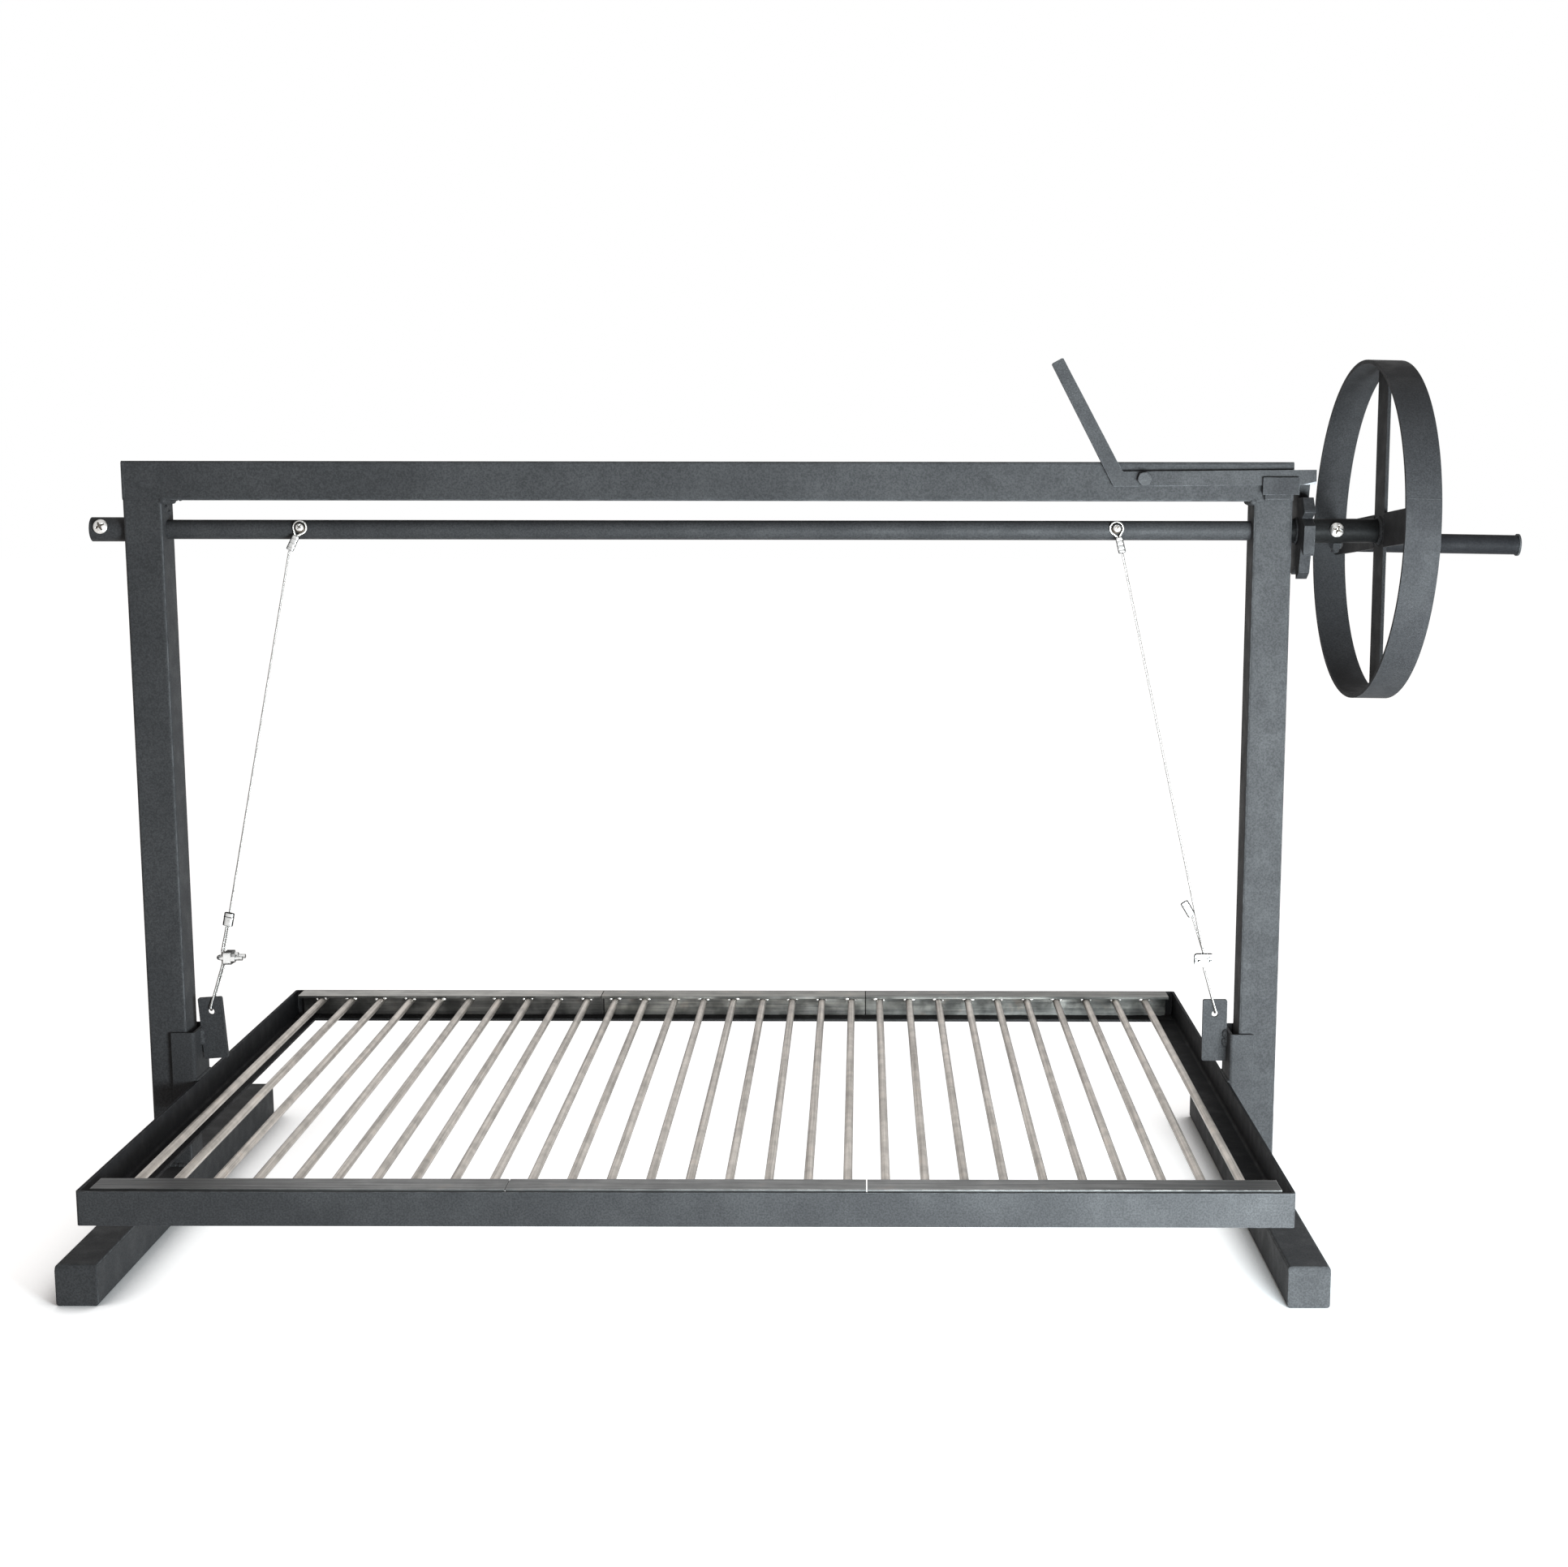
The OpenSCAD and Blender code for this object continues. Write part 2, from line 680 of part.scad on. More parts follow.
module eye(s, tilt) {
    neck = 1.3;
    in_ferrule = [0, 0, -ferrule_top - 2.5];
    above = [0, 0, -ferrule_top + 0.8];
    path = concat(
        [in_ferrule - [neck, 0, 0], above - [neck, 0, 0]],
        [for (a = [-50 : 14 : 230]) eye_r * [-cos(a), 0, sin(a)]],
        [above + [neck, 0, 0], in_ferrule + [neck, 0, 0]]);
    on_shaft(s * anchor_x, anchor_angle) translate([0, -eye_out, 0]) rotate([0, -s * -tilt, 0])
        rope_along(path, rope_d, [0, 1, 0]);
}

module anchor_eyes() {
    color(bright) placed() {
        eye(-1, -left_tilt);
        eye(1, -right_tilt);
    }
}

module flat_ferrule(l, w, t) {
    difference() {
        linear_extrude(l) {
            square([w - t, t], center = true);
            for (x = [-1, 1]) {
                translate([x * (w - t) / 2, 0]) circle(d = t);
            }
        }
        for (x = [-1.3, 1.3]) {
            translate([x, 0, l - 3]) cylinder(d = rope_d + 2 * fit, h = 4);
        }
    }
}

module anchor_ferrule(s, tilt) {
    on_shaft(s * anchor_x, anchor_angle) translate([0, -eye_out, 0]) rotate([0, -s * -tilt, 0])
        translate([0, 0, -ferrule_end]) flat_ferrule(ferrule_l, ferrule_w, ferrule_t);
}

module anchor_ferrules() {
    color(bright) placed() {
        anchor_ferrule(-1, -left_tilt);
        anchor_ferrule(1, -right_tilt);
    }
}

// Pawl lever: one flat bar, bent up into its handle, with the lower edge of its end ground off
module pawl_lever() {
    h = lever_w / 2;
    d = [cos(lever_arm_angle), sin(lever_arm_angle)];
    n = [d[1], -d[0]];
    corner = [-lever_tail, -h];
    tip = corner + lever_arm_l * d;
    inner = corner + lever_w * n;
    elbow = inner + d * (h - inner[1]) / d[1];
    color(black) placed() translate([pivot_x, -lever_y, pivot_z]) rotate([0, -lever_slope, 0])
        rotate([90, 0, 0]) difference() {
            linear_extrude(lever_t) difference() {
                polygon([corner + [0.8, 0], [lever_end - 1, -h], [lever_end, -h + 1], [lever_end, h],
                    elbow + [1, 0], elbow + 1 * d, tip + (lever_w - 1.5) * n - 1 * d,
                    tip + (lever_w - 3) * n, tip + 2 * n, tip + 0.5 * n - 1 * d, corner + 0.8 * d]);
                circle(d = pivot_d + 0.16);
            }
            translate([lever_end - 14, -h, lever_t]) rotate([0, 0, 13]) rotate([45, 0, 0])
                translate([-5, -20, 0]) cube([40, 40, 20]);
        }
}

// Tray of angle iron. The side rails are coped over the ledges of the front and rear ones.
module long_rail(s) {
    mirror([0, s > 0 ? 1 : 0, 0]) difference() {
        translate([-tray_w / 2, -tray_l / 2, tray_z])
            along_x(tray_w) angle_section(tray_leg, tray_ledge, tray_t, tray_fillet);
        for (x = [-1, 1]) {
            mirrored(x) translate([tray_w / 2, -tray_l / 2, tray_z - 1])
                corner_cut(tray_corner, tray_leg + 2);
        }
    }
}

// What a corner that points to +X and -Y loses when it is rounded
module corner_cut(r, h) {
    linear_extrude(h) difference() {
        translate([-r, -1]) square([r + 1, r + 1]);
        translate([-r, r]) circle(r);
    }
}

module side_rail(s) {
    difference() {
        mirrored(-s) translate([-tray_w / 2, tray_l / 2 - tray_t, tray_z]) rotate([90, 0, 0])
            linear_extrude(tray_l - 2 * tray_t)
                angle_section(tray_leg, tray_ledge, tray_t, tray_fillet);
        long_rail(-1);
        long_rail(1);
    }
}

module front_rail() {
    color(black) placed() long_rail(-1);
}

module rear_rail() {
    color(black) placed() long_rail(1);
}

module left_rail() {
    color(black) placed() side_rail(-1);
}

module right_rail() {
    color(black) placed() side_rail(1);
}

// Guides: folded channels round the inner half of each post
module guide(s) {
    w = tube + 2 * guide_play + 2 * guide_t;
    translate([0, 0, tray_z]) mirrored(s) translate([tray_w / 2, 0, 0]) linear_extrude(guide_h)
        difference() {
            translate([guide_flange / 2 + 5, 0]) rounded(guide_flange + 10, w, guide_t + 1);
            translate([guide_t + guide_flange / 2 + 10, 0])
                rounded(guide_flange + 20, w - 2 * guide_t, 1);
            translate([guide_flange, -w]) square([20, 2 * w]);
        }
}

module left_guide() {
    color(black) placed() guide(-1);
}

module right_guide() {
    color(black) placed() guide(1);
}

// The left plate leans out of upright over the top of its guide
module leaning(s) {
    turn_at = [s * tray_w / 2, 0, lean_z];
    translate(turn_at) rotate([0, s < 0 ? -hanger_lean : 0, 0]) translate(-turn_at) children();
}

module hanger(s) {
    leaning(s) translate([s * hole_x, hanger_t / 2, hanger_z]) rotate([90, 0, 0]) linear_extrude(hanger_t)
        difference() {
            translate([0, hanger_h / 2]) rounded(hanger_w, hanger_h, 2);
            translate([0, hanger_h - hole_in]) circle(d = hole_d);
        }
}

module left_hanger() {
    color(black) placed() hanger(-1);
}

module right_hanger() {
    color(black) placed() hanger(1);
}

// Rope clip: the rope runs along Z, the U-bolt's legs point along X through the saddle
module wire_clip() {
    leg_y = clip_rod / 2 + 3.7;
    bend_x = -2 * rope_side - 0.15 + 3.7;
    saddle_x = 2 * rope_side + 0.15;
    saddle_l = 8;
    leg_end = 22;
    translate([bend_x, 0, 0]) rotate([0, 0, 90]) rotate_extrude(angle = 180) translate([leg_y, 0])
        circle(d = clip_rod, $fn = 24);
    for (y = [-leg_y, leg_y]) {
        translate([bend_x, y, 0]) rotate([0, 90, 0]) cylinder(d = clip_rod, h = leg_end - bend_x);
        translate([saddle_x + saddle_l + 0.05, y, 0]) rotate([0, 90, 0]) difference() {
            hexagon_head(8, 4);
            translate([0, 0, -1]) cylinder(d = clip_rod + 2 * fit, h = 6);
        }
    }
    difference() {
        translate([saddle_x, 0, 0]) rotate([90, 0, 90]) linear_extrude(saddle_l)
            rounded(2 * leg_y + clip_rod + 4, 2 * clip_half, 3);
        for (y = [-leg_y, leg_y]) {
            translate([saddle_x - 1, y, 0]) rotate([0, 90, 0])
                cylinder(d = clip_rod + 2 * fit, h = saddle_l + 2);
        }
    }
}

module left_clip() {
    color(bright) placed() translate(clip_mid(-1)) wire_clip();
}

module right_clip() {
    color(bright) placed() translate(clip_mid(1)) rotate([0, 0, -90]) wire_clip();
}

module left_rope_loop() {
    w = [1, 0, 0];
    path = loop_path(-1, w, left_top - rope_side * w, left_top + rope_side * w);
    color(bright) placed() rope_along(path, rope_d, [0.9, 0.3, 0]);
}

module right_rope_loop() {
    path = loop_path(1, [0, 1, 0], right_top, right_tail);
    color(bright) placed() rope_along(path, rope_d, [1, 0.2, 0]);
}

// Crimped sleeve on both strands of the left rope
module left_crimp_sleeve() {
    color(bright) placed() translate(left_top) rotate([0, sleeve_tilt, 0]) translate([0, 0, 0.4]) difference() {
        linear_extrude(sleeve_l) rounded(10.5, 6.5, 2.5);
        for (y = [-1, 1]) {
            translate([-6, y * 3.6 - 0.6, sleeve_l * 0.62]) cube([12, 1.2, 1.4]);
        }
    }
}

// Ferrule on the cut end of the right rope
module right_tail_ferrule() {
    color(bright) placed() translate(right_tail) rotate([0, -tail_tilt, 0]) translate([0, 0, 0.3])
        linear_extrude(tail_l) rounded(8.6, 5, 2.2);
}

// Grates: angle iron on the tray's ledges, with round bars under its top leg
module grate_rail(x, w, s) {
    mirror([0, s > 0 ? 1 : 0, 0]) translate([x, -grate_l / 2, grate_z + grate_leg]) mirror([0, 0, 1])
        along_x(w) angle_section(grate_leg, grate_leg, grate_t, grate_fillet);
}

module grate_bars(x, first, n) {
    l = grate_l - 2 * (grate_t + grate_fillet);
    for (i = [0 : n - 1]) {
        translate([x + first + i * bar_pitch, l / 2, grate_z + grate_leg - grate_t - bar_d / 2])
            rotate([90, 0, 0]) cylinder(d = bar_d, h = l, $fn = 32);
    }
}

module left_grate_front_rail() {
    color(bare_steel) placed() grate_rail(left_grate_x, outer_w, -1);
}

module left_grate_rear_rail() {
    color(bare_steel) placed() grate_rail(left_grate_x, outer_w, 1);
}

module left_grate_bars() {
    color(bare_steel) placed() grate_bars(left_grate_x, end_margin, outer_bars);
}

module middle_grate_front_rail() {
    color(bare_steel) placed() grate_rail(middle_grate_x, middle_w, -1);
}

module middle_grate_rear_rail() {
    color(bare_steel) placed() grate_rail(middle_grate_x, middle_w, 1);
}

module middle_grate_bars() {
    color(bare_steel) placed() grate_bars(middle_grate_x, seam_margin, middle_bars);
}

module right_grate_front_rail() {
    color(bare_steel) placed() grate_rail(right_grate_x, outer_w, -1);
}

module right_grate_rear_rail() {
    color(bare_steel) placed() grate_rail(right_grate_x, outer_w, 1);
}

module right_grate_bars() {
    color(bare_steel) placed() grate_bars(right_grate_x, seam_margin, outer_bars);
}

left_post();
right_post();
top_beam();
left_foot();
right_foot();
beam_end_caps();
foot_end_caps();
pawl_keeper();
keeper_spacer();
pawl_bolt();
left_cable();
right_cable();
shaft();
left_collar();
collar_screw();
ratchet_wheel();
hub_sleeve();
hub_screw();
hub_lock_bolt();
wheel_rim();
vertical_spoke();
front_spoke();
rear_spoke();
crank_pin();
crank_washer();
anchor_screws();
anchor_eyes();
anchor_ferrules();
crank_grip();
pawl_lever();
front_rail();
rear_rail();
left_rail();
right_rail();
left_guide();
right_guide();
left_hanger();
right_hanger();
left_clip();
right_clip();
left_rope_loop();
right_rope_loop();
left_crimp_sleeve();
right_tail_ferrule();
left_grate_front_rail();
left_grate_rear_rail();
left_grate_bars();
middle_grate_front_rail();
middle_grate_rear_rail();
middle_grate_bars();
right_grate_front_rail();
right_grate_rear_rail();
right_grate_bars();
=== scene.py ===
"""Asado grill on a lifting frame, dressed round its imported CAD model.

The file follows the grill as it is put together: ropes, frame, lever, shaft, hand wheel, crank,
rope anchors, tray, rope clips, grates, and last the floor and the light. Metres and degrees.
"""

import json
import math
import random

import bmesh
import bpy
from mathutils import Matrix, Vector, noise


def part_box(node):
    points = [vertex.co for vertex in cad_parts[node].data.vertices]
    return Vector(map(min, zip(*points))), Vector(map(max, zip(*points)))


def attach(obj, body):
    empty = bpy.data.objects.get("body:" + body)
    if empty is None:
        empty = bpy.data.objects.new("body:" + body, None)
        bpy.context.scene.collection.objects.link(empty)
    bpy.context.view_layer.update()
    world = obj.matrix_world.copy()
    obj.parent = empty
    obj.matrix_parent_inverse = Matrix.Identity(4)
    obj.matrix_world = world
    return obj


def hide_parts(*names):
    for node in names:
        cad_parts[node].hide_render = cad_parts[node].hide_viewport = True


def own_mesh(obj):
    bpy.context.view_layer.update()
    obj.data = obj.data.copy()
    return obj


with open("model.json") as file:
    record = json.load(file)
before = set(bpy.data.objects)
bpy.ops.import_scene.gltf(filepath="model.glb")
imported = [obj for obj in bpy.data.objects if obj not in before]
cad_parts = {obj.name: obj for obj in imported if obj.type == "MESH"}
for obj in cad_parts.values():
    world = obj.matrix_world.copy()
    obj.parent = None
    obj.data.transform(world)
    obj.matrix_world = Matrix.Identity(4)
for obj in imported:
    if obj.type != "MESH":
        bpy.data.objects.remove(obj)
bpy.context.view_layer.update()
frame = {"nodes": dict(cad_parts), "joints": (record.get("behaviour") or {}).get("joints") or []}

# Camera

# A short telephoto view from in front of the grill, a little above the beam and looking down.
# The view is shifted a little, because the grill isn't in the middle of the picture.
sensor = 36.0
focal_length = 50.80
pitch_down, yaw_right, roll = math.radians(9.019), math.radians(-0.097), math.radians(0.068)
forward = Vector((
    math.sin(yaw_right) * math.cos(pitch_down),
    math.cos(yaw_right) * math.cos(pitch_down),
    -math.sin(pitch_down),
))
level = Vector((math.cos(yaw_right), -math.sin(yaw_right), 0))
upward = level.cross(forward)
right = level * math.cos(roll) + upward * math.sin(roll)
camera_data = bpy.data.cameras.new("camera")
camera_data.sensor_width = sensor
camera_data.lens = focal_length
camera_data.shift_x = -0.04698
camera_data.shift_y = 0.02676
camera = bpy.data.objects.new("camera", camera_data)
bpy.context.collection.objects.link(camera)
camera.matrix_world = Matrix.Translation((0.03554, -2.31056, 0.77519)) @ Matrix(
    (right, right.cross(-forward) * -1, -forward)
).transposed().to_4x4()
bpy.context.scene.camera = camera

# Wire ropes

# Two galvanised wire ropes of 2.2 mm hold the tray. Each is six strands laid round a core, and
# runs dead straight from its ferrule at the shaft to the fittings above its hanger plate.
beam_low, beam_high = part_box("top_beam")
middle = (beam_low.x + beam_high.x) / 2
rope_d = 0.0022
joints = {joint["name"]: joint for joint in frame["joints"]}


def give(tree, socket, value):
    """Links a node's input to another node's socket, or sets it to a plain value."""
    if isinstance(value, bpy.types.NodeSocket):
        tree.links.new(value, socket)
    else:
        socket.default_value = value


def add(tree, kind, settings=None, **inputs):
    """A shader node with its settings and inputs."""
    made = tree.nodes.new("ShaderNode" + kind)
    for key, value in (settings or {}).items():
        setattr(made, key, value)
    for key, value in inputs.items():
        give(tree, made.inputs[key.replace("_", " ")], value)
    return made


def calc(tree, operation, *values, kind="Math", clamp=False):
    """What a math node makes of its values, which are numbers or sockets."""
    made = add(tree, kind, {"operation": operation})
    if clamp:
        made.use_clamp = True
    for socket, value in zip(made.inputs, values):
        give(tree, socket, value)
    return made.outputs["Value" if operation == "DOT_PRODUCT" else 0]


def speckle(tree, where, scale, detail, rough=0.5, bend=0.0):
    """A noise pattern between 0 and 1."""
    return add(tree, "TexNoise", Vector=where, Scale=scale, Detail=detail, Roughness=rough,
               Distortion=bend).outputs["Fac"]


def mixed(tree, share, first, second, mode="MIX"):
    """The colour between first and second."""
    made = tree.nodes.new("ShaderNodeMix")
    made.data_type = "RGBA"
    made.blend_type = mode
    for index, value in ((0, share), (6, first), (7, second)):
        give(tree, made.inputs[index], value)
    return made.outputs[2]


def dimmed(tree, colour, grey):
    """A colour times a grey."""
    even = add(tree, "CombineColor", Red=grey, Green=grey, Blue=grey).outputs["Color"]
    return mixed(tree, 1.0, colour, even, "MULTIPLY")


def spread(tree, value, low, high, to_low=0.0, to_high=1.0):
    """value moved smoothly from the range low to high into another range."""
    made = add(tree, "MapRange", {"interpolation_type": "SMOOTHSTEP"}, Value=value, From_Min=low,
               From_Max=high, To_Min=to_low, To_Max=to_high)
    return made.outputs["Result"]


def new_group(name, inputs, outputs):
    """An empty shader node group with named sockets, and what it is given and has to give."""
    group = bpy.data.node_groups.new(name, "ShaderNodeTree")
    for way, sockets in (("INPUT", inputs), ("OUTPUT", outputs)):
        for label, kind in sockets:
            group.interface.new_socket(name=label, in_out=way, socket_type="NodeSocket" + kind)
    return group, group.nodes.new("NodeGroupInput").outputs, group.nodes.new("NodeGroupOutput").inputs


def placed_group(tree, group, **inputs):
    """A node group put into a material, with its own values."""
    made = tree.nodes.new("ShaderNodeGroup")
    made.node_tree = group
    for key, value in inputs.items():
        give(tree, made.inputs[key.replace("_", " ")], value)
    return made.outputs


def shaded(name, **values):
    """A material with its Principled shader, and the coordinates of the piece itself."""
    material = bpy.data.materials.new(name)
    material.use_nodes = True
    tree = material.node_tree
    shader = tree.nodes["Principled BSDF"]
    for key, value in values.items():
        shader.inputs[key.replace("_", " ")].default_value = value
    return material, tree, shader, tree.nodes.new("ShaderNodeTexCoord").outputs["Object"]


# Bright metal: fine drawing marks, small dull spots and a hint of dark grime
bright_metal, given, result = new_group(
    "bright_metal",
    [("Vector", "Vector"), ("Clean", "Color"), ("Grime", "Color"), ("Grain", "Float"), ("Wear", "Float")],
    [("Colour", "Color"), ("Roughness", "Float"), ("Height", "Float")],
)
fine = speckle(bright_metal, given["Vector"], given["Grain"], 3.0, 0.6)
spots = spread(bright_metal, speckle(bright_metal, given["Vector"], 240.0, 2.0), 0.52, 0.75)
grimy = calc(bright_metal, "MULTIPLY", spots, given["Wear"])
give(bright_metal, result["Colour"], mixed(bright_metal, grimy, given["Clean"], given["Grime"]))
give(bright_metal, result["Roughness"], spread(bright_metal, fine, 0.3, 0.7, 0.22, 0.42))
give(bright_metal, result["Height"], fine)


def finish(tree, shader, colour, looks, strength, distance, normal=None):
    """Gives a Principled shader its colour, roughness and relief."""
    bump = add(tree, "Bump", Strength=strength, Distance=distance, Height=looks["Height"])
    if normal is not None:
        give(tree, bump.inputs["Normal"], normal)
    give(tree, shader.inputs["Base Color"], colour)
    give(tree, shader.inputs["Roughness"], looks["Roughness"])
    give(tree, shader.inputs["Normal"], bump.outputs["Normal"])


def painted_side_shade(tree, colour, least, start=0.30, end=0.95):
    """A metal's colour with a painted shade where it turns away from the view, standing in for what bare
    metal reflects in a room with dark corners.
    """
    turned = add(tree, "LayerWeight", Blend=0.5).outputs["Facing"]
    return dimmed(tree, colour, spread(tree, turned, start, end, 1.0, least))


def bright_finish(name, clean, grime, grain, wear, relief=0.15, least=0.25, start=0.30, end=0.95):
    """Bare bright metal of the small fittings, clean with spots of grime, and with a painted shade where it
    turns away from the view.
    """
    material, tree, shader, where = shaded(name, Metallic=1.0, Specular_Tint=(0.10, 0.10, 0.10, 1))
    looks = placed_group(tree, bright_metal, Vector=where, Clean=(*clean, 1), Grime=(*grime, 1),
                         Grain=grain, Wear=wear)
    # The metal's sides, where they turn away from the view, get a painted shade.
    finish(tree, shader, painted_side_shade(tree, looks["Colour"], least, start, end), looks, relief, 0.0002)
    return material


def finished_mesh(name, body, points, faces, material, smooth=True):
    """A mesh object of points and faces, riding on a body."""
    mesh = bpy.data.meshes.new(name)
    mesh.from_pydata([tuple(p) for p in points], [], faces)
    mesh.validate()
    mesh.polygons.foreach_set("use_smooth", [smooth] * len(mesh.polygons))
    mesh.materials.append(material)
    made = bpy.data.objects.new(name, mesh)
    bpy.context.collection.objects.link(made)
    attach(made, body)
    return made


def evenly(points, step):
    """points with more of them along their line, about step apart, and the way along it."""
    out, along, gone = [], [], 0.0
    for a, b in zip(points[:-1], points[1:]):
        n = max(1, round((b - a).length / step))
        for i in range(n):
            out.append(a.lerp(b, i / n))
            along.append(gone + (b - a).length * i / n)
        gone += (b - a).length
    return out + [points[-1]], along + [gone]


def across(line):
    """Two directions square to the line at each of its points, carried along without twist."""
    side = Vector((0.31, 0.17, 0.93))
    first = (line[1] - line[0]).normalized()
    side = (side - side.dot(first) * first).normalized()
    frames = []
    for i in range(len(line)):
        t = (line[min(i + 1, len(line) - 1)] - line[max(i - 1, 0)]).normalized()
        side = (side - side.dot(t) * t).normalized()
        frames.append((side, t.cross(side)))
    return frames


def skin(faces, first, rings, sides, both_lids=True):
    """Adds the faces over rings of points, with a lid on the last ring or on both ends."""
    for i in range(rings - 1):
        for k in range(sides):
            a, b = first + i * sides + k, first + i * sides + (k + 1) % sides
            faces.append((a, b, b + sides, a + sides))
    if both_lids:
        faces.append(tuple(first + k for k in reversed(range(sides))))
    last = first + (rings - 1) * sides
    faces.append(tuple(last + k for k in range(sides)))


def tube(line, frames, radii, sides, points, faces):
    """Adds a closed tube round line to points and faces."""
    first = len(points)
    for p, (u, v), r in zip(line, frames, radii):
        for k in range(sides):
            a = math.tau * k / sides
            points.append(p + r * (math.cos(a) * u + math.sin(a) * v))
    skin(faces, first, len(line), sides)


def laid_rope(name, body, route, material, lay=0.0125):
    """Wire rope along route: six strands turn once round their core in each lay."""
    line, along = evenly(route, lay / 14)
    frames = across(line)
    strand = rope_d / 6
    points, faces = [], []
    tube(line, frames, [strand * 1.05] * len(line), 6, points, faces)
    for s in range(6):
        own = []
        for p, (u, v), w in zip(line, frames, along):
            a = math.tau * (s / 6 + w / lay)
            own.append(p + 2 * strand * (math.cos(a) * u + math.sin(a) * v))
        tube(own, across(own), [strand] * len(own), 6, points, faces)
    return finished_mesh(name, body, points, faces, material)


galvanised_rope = bright_finish("galvanised_rope", (0.40, 0.385, 0.37), (0.19, 0.18, 0.17),
                                grain=900.0, wear=0.6, least=0.15)
# Where each free rope leaves its ferrule, and where it meets the fitting over its plate
rope_ends = {
    "left": ((middle - 0.431697, -0.015951, 0.696827), (middle - 0.514176, 0, 0.313528)),
    "right": ((middle + 0.426468, -0.016304, 0.695165), (middle + 0.521700, -0.00115, 0.2773)),
}
for side, (top, foot) in rope_ends.items():
    top, foot = Vector(top), Vector(foot)
    rope = laid_rope(side + "_hoist_rope", "frame", [top, foot], galvanised_rope)
    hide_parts(side + "_cable")
    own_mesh(rope)
    [tuple(p) for p in evenly([top, foot], 0.02)[0]]

# Posts, beam and feet

# Square steel tube of 40 mm, closed with welded plates and welded up into a goalpost on two feet.
# The welds are ground flush outside and left as beads in the corners. All of it is coated
# matt black, which is cloudy and has a fine grain.
tube_side = beam_high.y - beam_low.y
post_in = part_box("right_post")[0].x - middle
foot_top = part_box("right_foot")[1].z
coat_film, given, result = new_group(
    "coat_film",
    [("Vector", "Vector"), ("Deep", "Color"), ("Pale", "Color"), ("Cloud", "Float"), ("Dull", "Float")],
    [("Colour", "Color"), ("Roughness", "Float"), ("Height", "Float")],
)
clouds = speckle(coat_film, given["Vector"], 11.0, 6.0, 0.62, 0.5)
smudges = speckle(coat_film, given["Vector"], 47.0, 4.0, 0.55)
grain = speckle(coat_film, given["Vector"], 620.0, 2.0)
cloudy = calc(coat_film, "ADD", spread(coat_film, smudges, 0.4, 0.75, -0.15, 0.20),
              spread(coat_film, clouds, 0.36, 0.68))
cloudy = calc(coat_film, "MULTIPLY", cloudy, given["Cloud"], clamp=True)
film = mixed(coat_film, cloudy, given["Deep"], given["Pale"])
give(coat_film, result["Colour"], dimmed(coat_film, film, spread(coat_film, grain, 0.3, 0.7, 0.76, 1.26)))
polish = spread(coat_film, smudges, 0.35, 0.75, -0.04, 0.10)
give(coat_film, result["Roughness"], calc(coat_film, "SUBTRACT", given["Dull"], polish, clamp=True))
give(coat_film, result["Height"], grain)

# Edges rubbed to grey, partly wear and partly a painted highlight: where the rounded normal leaves the flat
# one, and, as a painted highlight, on slanting faces such as the tubes' rounded corners, broken up by a
# noise
edge_wear_and_highlight, given, result = new_group(
    "edge_wear_and_highlight",
    [("Vector", "Vector"), ("Radius", "Float"), ("Amount", "Float"), ("Corner", "Float")],
    [("Mask", "Float"), ("Normal", "Vector")],
)
rounded = add(edge_wear_and_highlight, "Bevel", {"samples": 4}, Radius=given["Radius"]).outputs["Normal"]
flat = edge_wear_and_highlight.nodes.new("ShaderNodeNewGeometry").outputs["Normal"]
facing = calc(edge_wear_and_highlight, "DOT_PRODUCT", rounded, flat, kind="VectorMath")
upright = calc(edge_wear_and_highlight, "ABSOLUTE", flat, kind="VectorMath")
sides = add(edge_wear_and_highlight, "SeparateXYZ", Vector=upright).outputs
widest = calc(edge_wear_and_highlight, "MAXIMUM", calc(edge_wear_and_highlight, "MAXIMUM", sides["X"], sides["Y"]), sides["Z"])
corner_highlight = calc(edge_wear_and_highlight, "MULTIPLY", spread(edge_wear_and_highlight, widest, 0.90, 0.75), given["Corner"])
either = calc(edge_wear_and_highlight, "MAXIMUM", spread(edge_wear_and_highlight, facing, 0.985, 0.80), corner_highlight)
broken = speckle(edge_wear_and_highlight, given["Vector"], 130.0, 4.0)
rub = calc(edge_wear_and_highlight, "MULTIPLY", either, spread(edge_wear_and_highlight, broken, 0.35, 0.65, 0.15, 1.0))
give(edge_wear_and_highlight, result["Mask"], calc(edge_wear_and_highlight, "MULTIPLY", rub, given["Amount"], clamp=True))
give(edge_wear_and_highlight, result["Normal"], rounded)


wear_and_highlight_grey, painted_facet_highlight = (0.17, 0.175, 0.18, 1), (0.26, 0.26, 0.27, 1)


def coated(name, deep, pale, edge, radius, cloud=0.4, dull=0.70, relief=0.2, corner=0.0, sheen=0.12):
    """Matt black coating over steel, rubbed to grey along its edges, which also serves as a painted edge
    highlight; corner adds a painted highlight on rounded corners.
    """
    material, tree, shader, where = shaded(name, Specular_IOR_Level=sheen)
    looks = placed_group(tree, coat_film, Vector=where, Deep=(*deep, 1), Pale=(*pale, 1), Cloud=cloud,
                         Dull=dull)
    edges = placed_group(tree, edge_wear_and_highlight, Vector=where, Radius=radius, Amount=edge, Corner=corner)
    worn_and_highlit = mixed(tree, edges["Mask"], looks["Colour"], wear_and_highlight_grey)
    finish(tree, shader, worn_and_highlit, looks, relief, 0.0003, edges["Normal"])
    return material


def dress(material, *nodes):
    """Gives CAD nodes a material."""
    for node in nodes:
        for slot in frame["nodes"][node].material_slots:
            slot.material = material


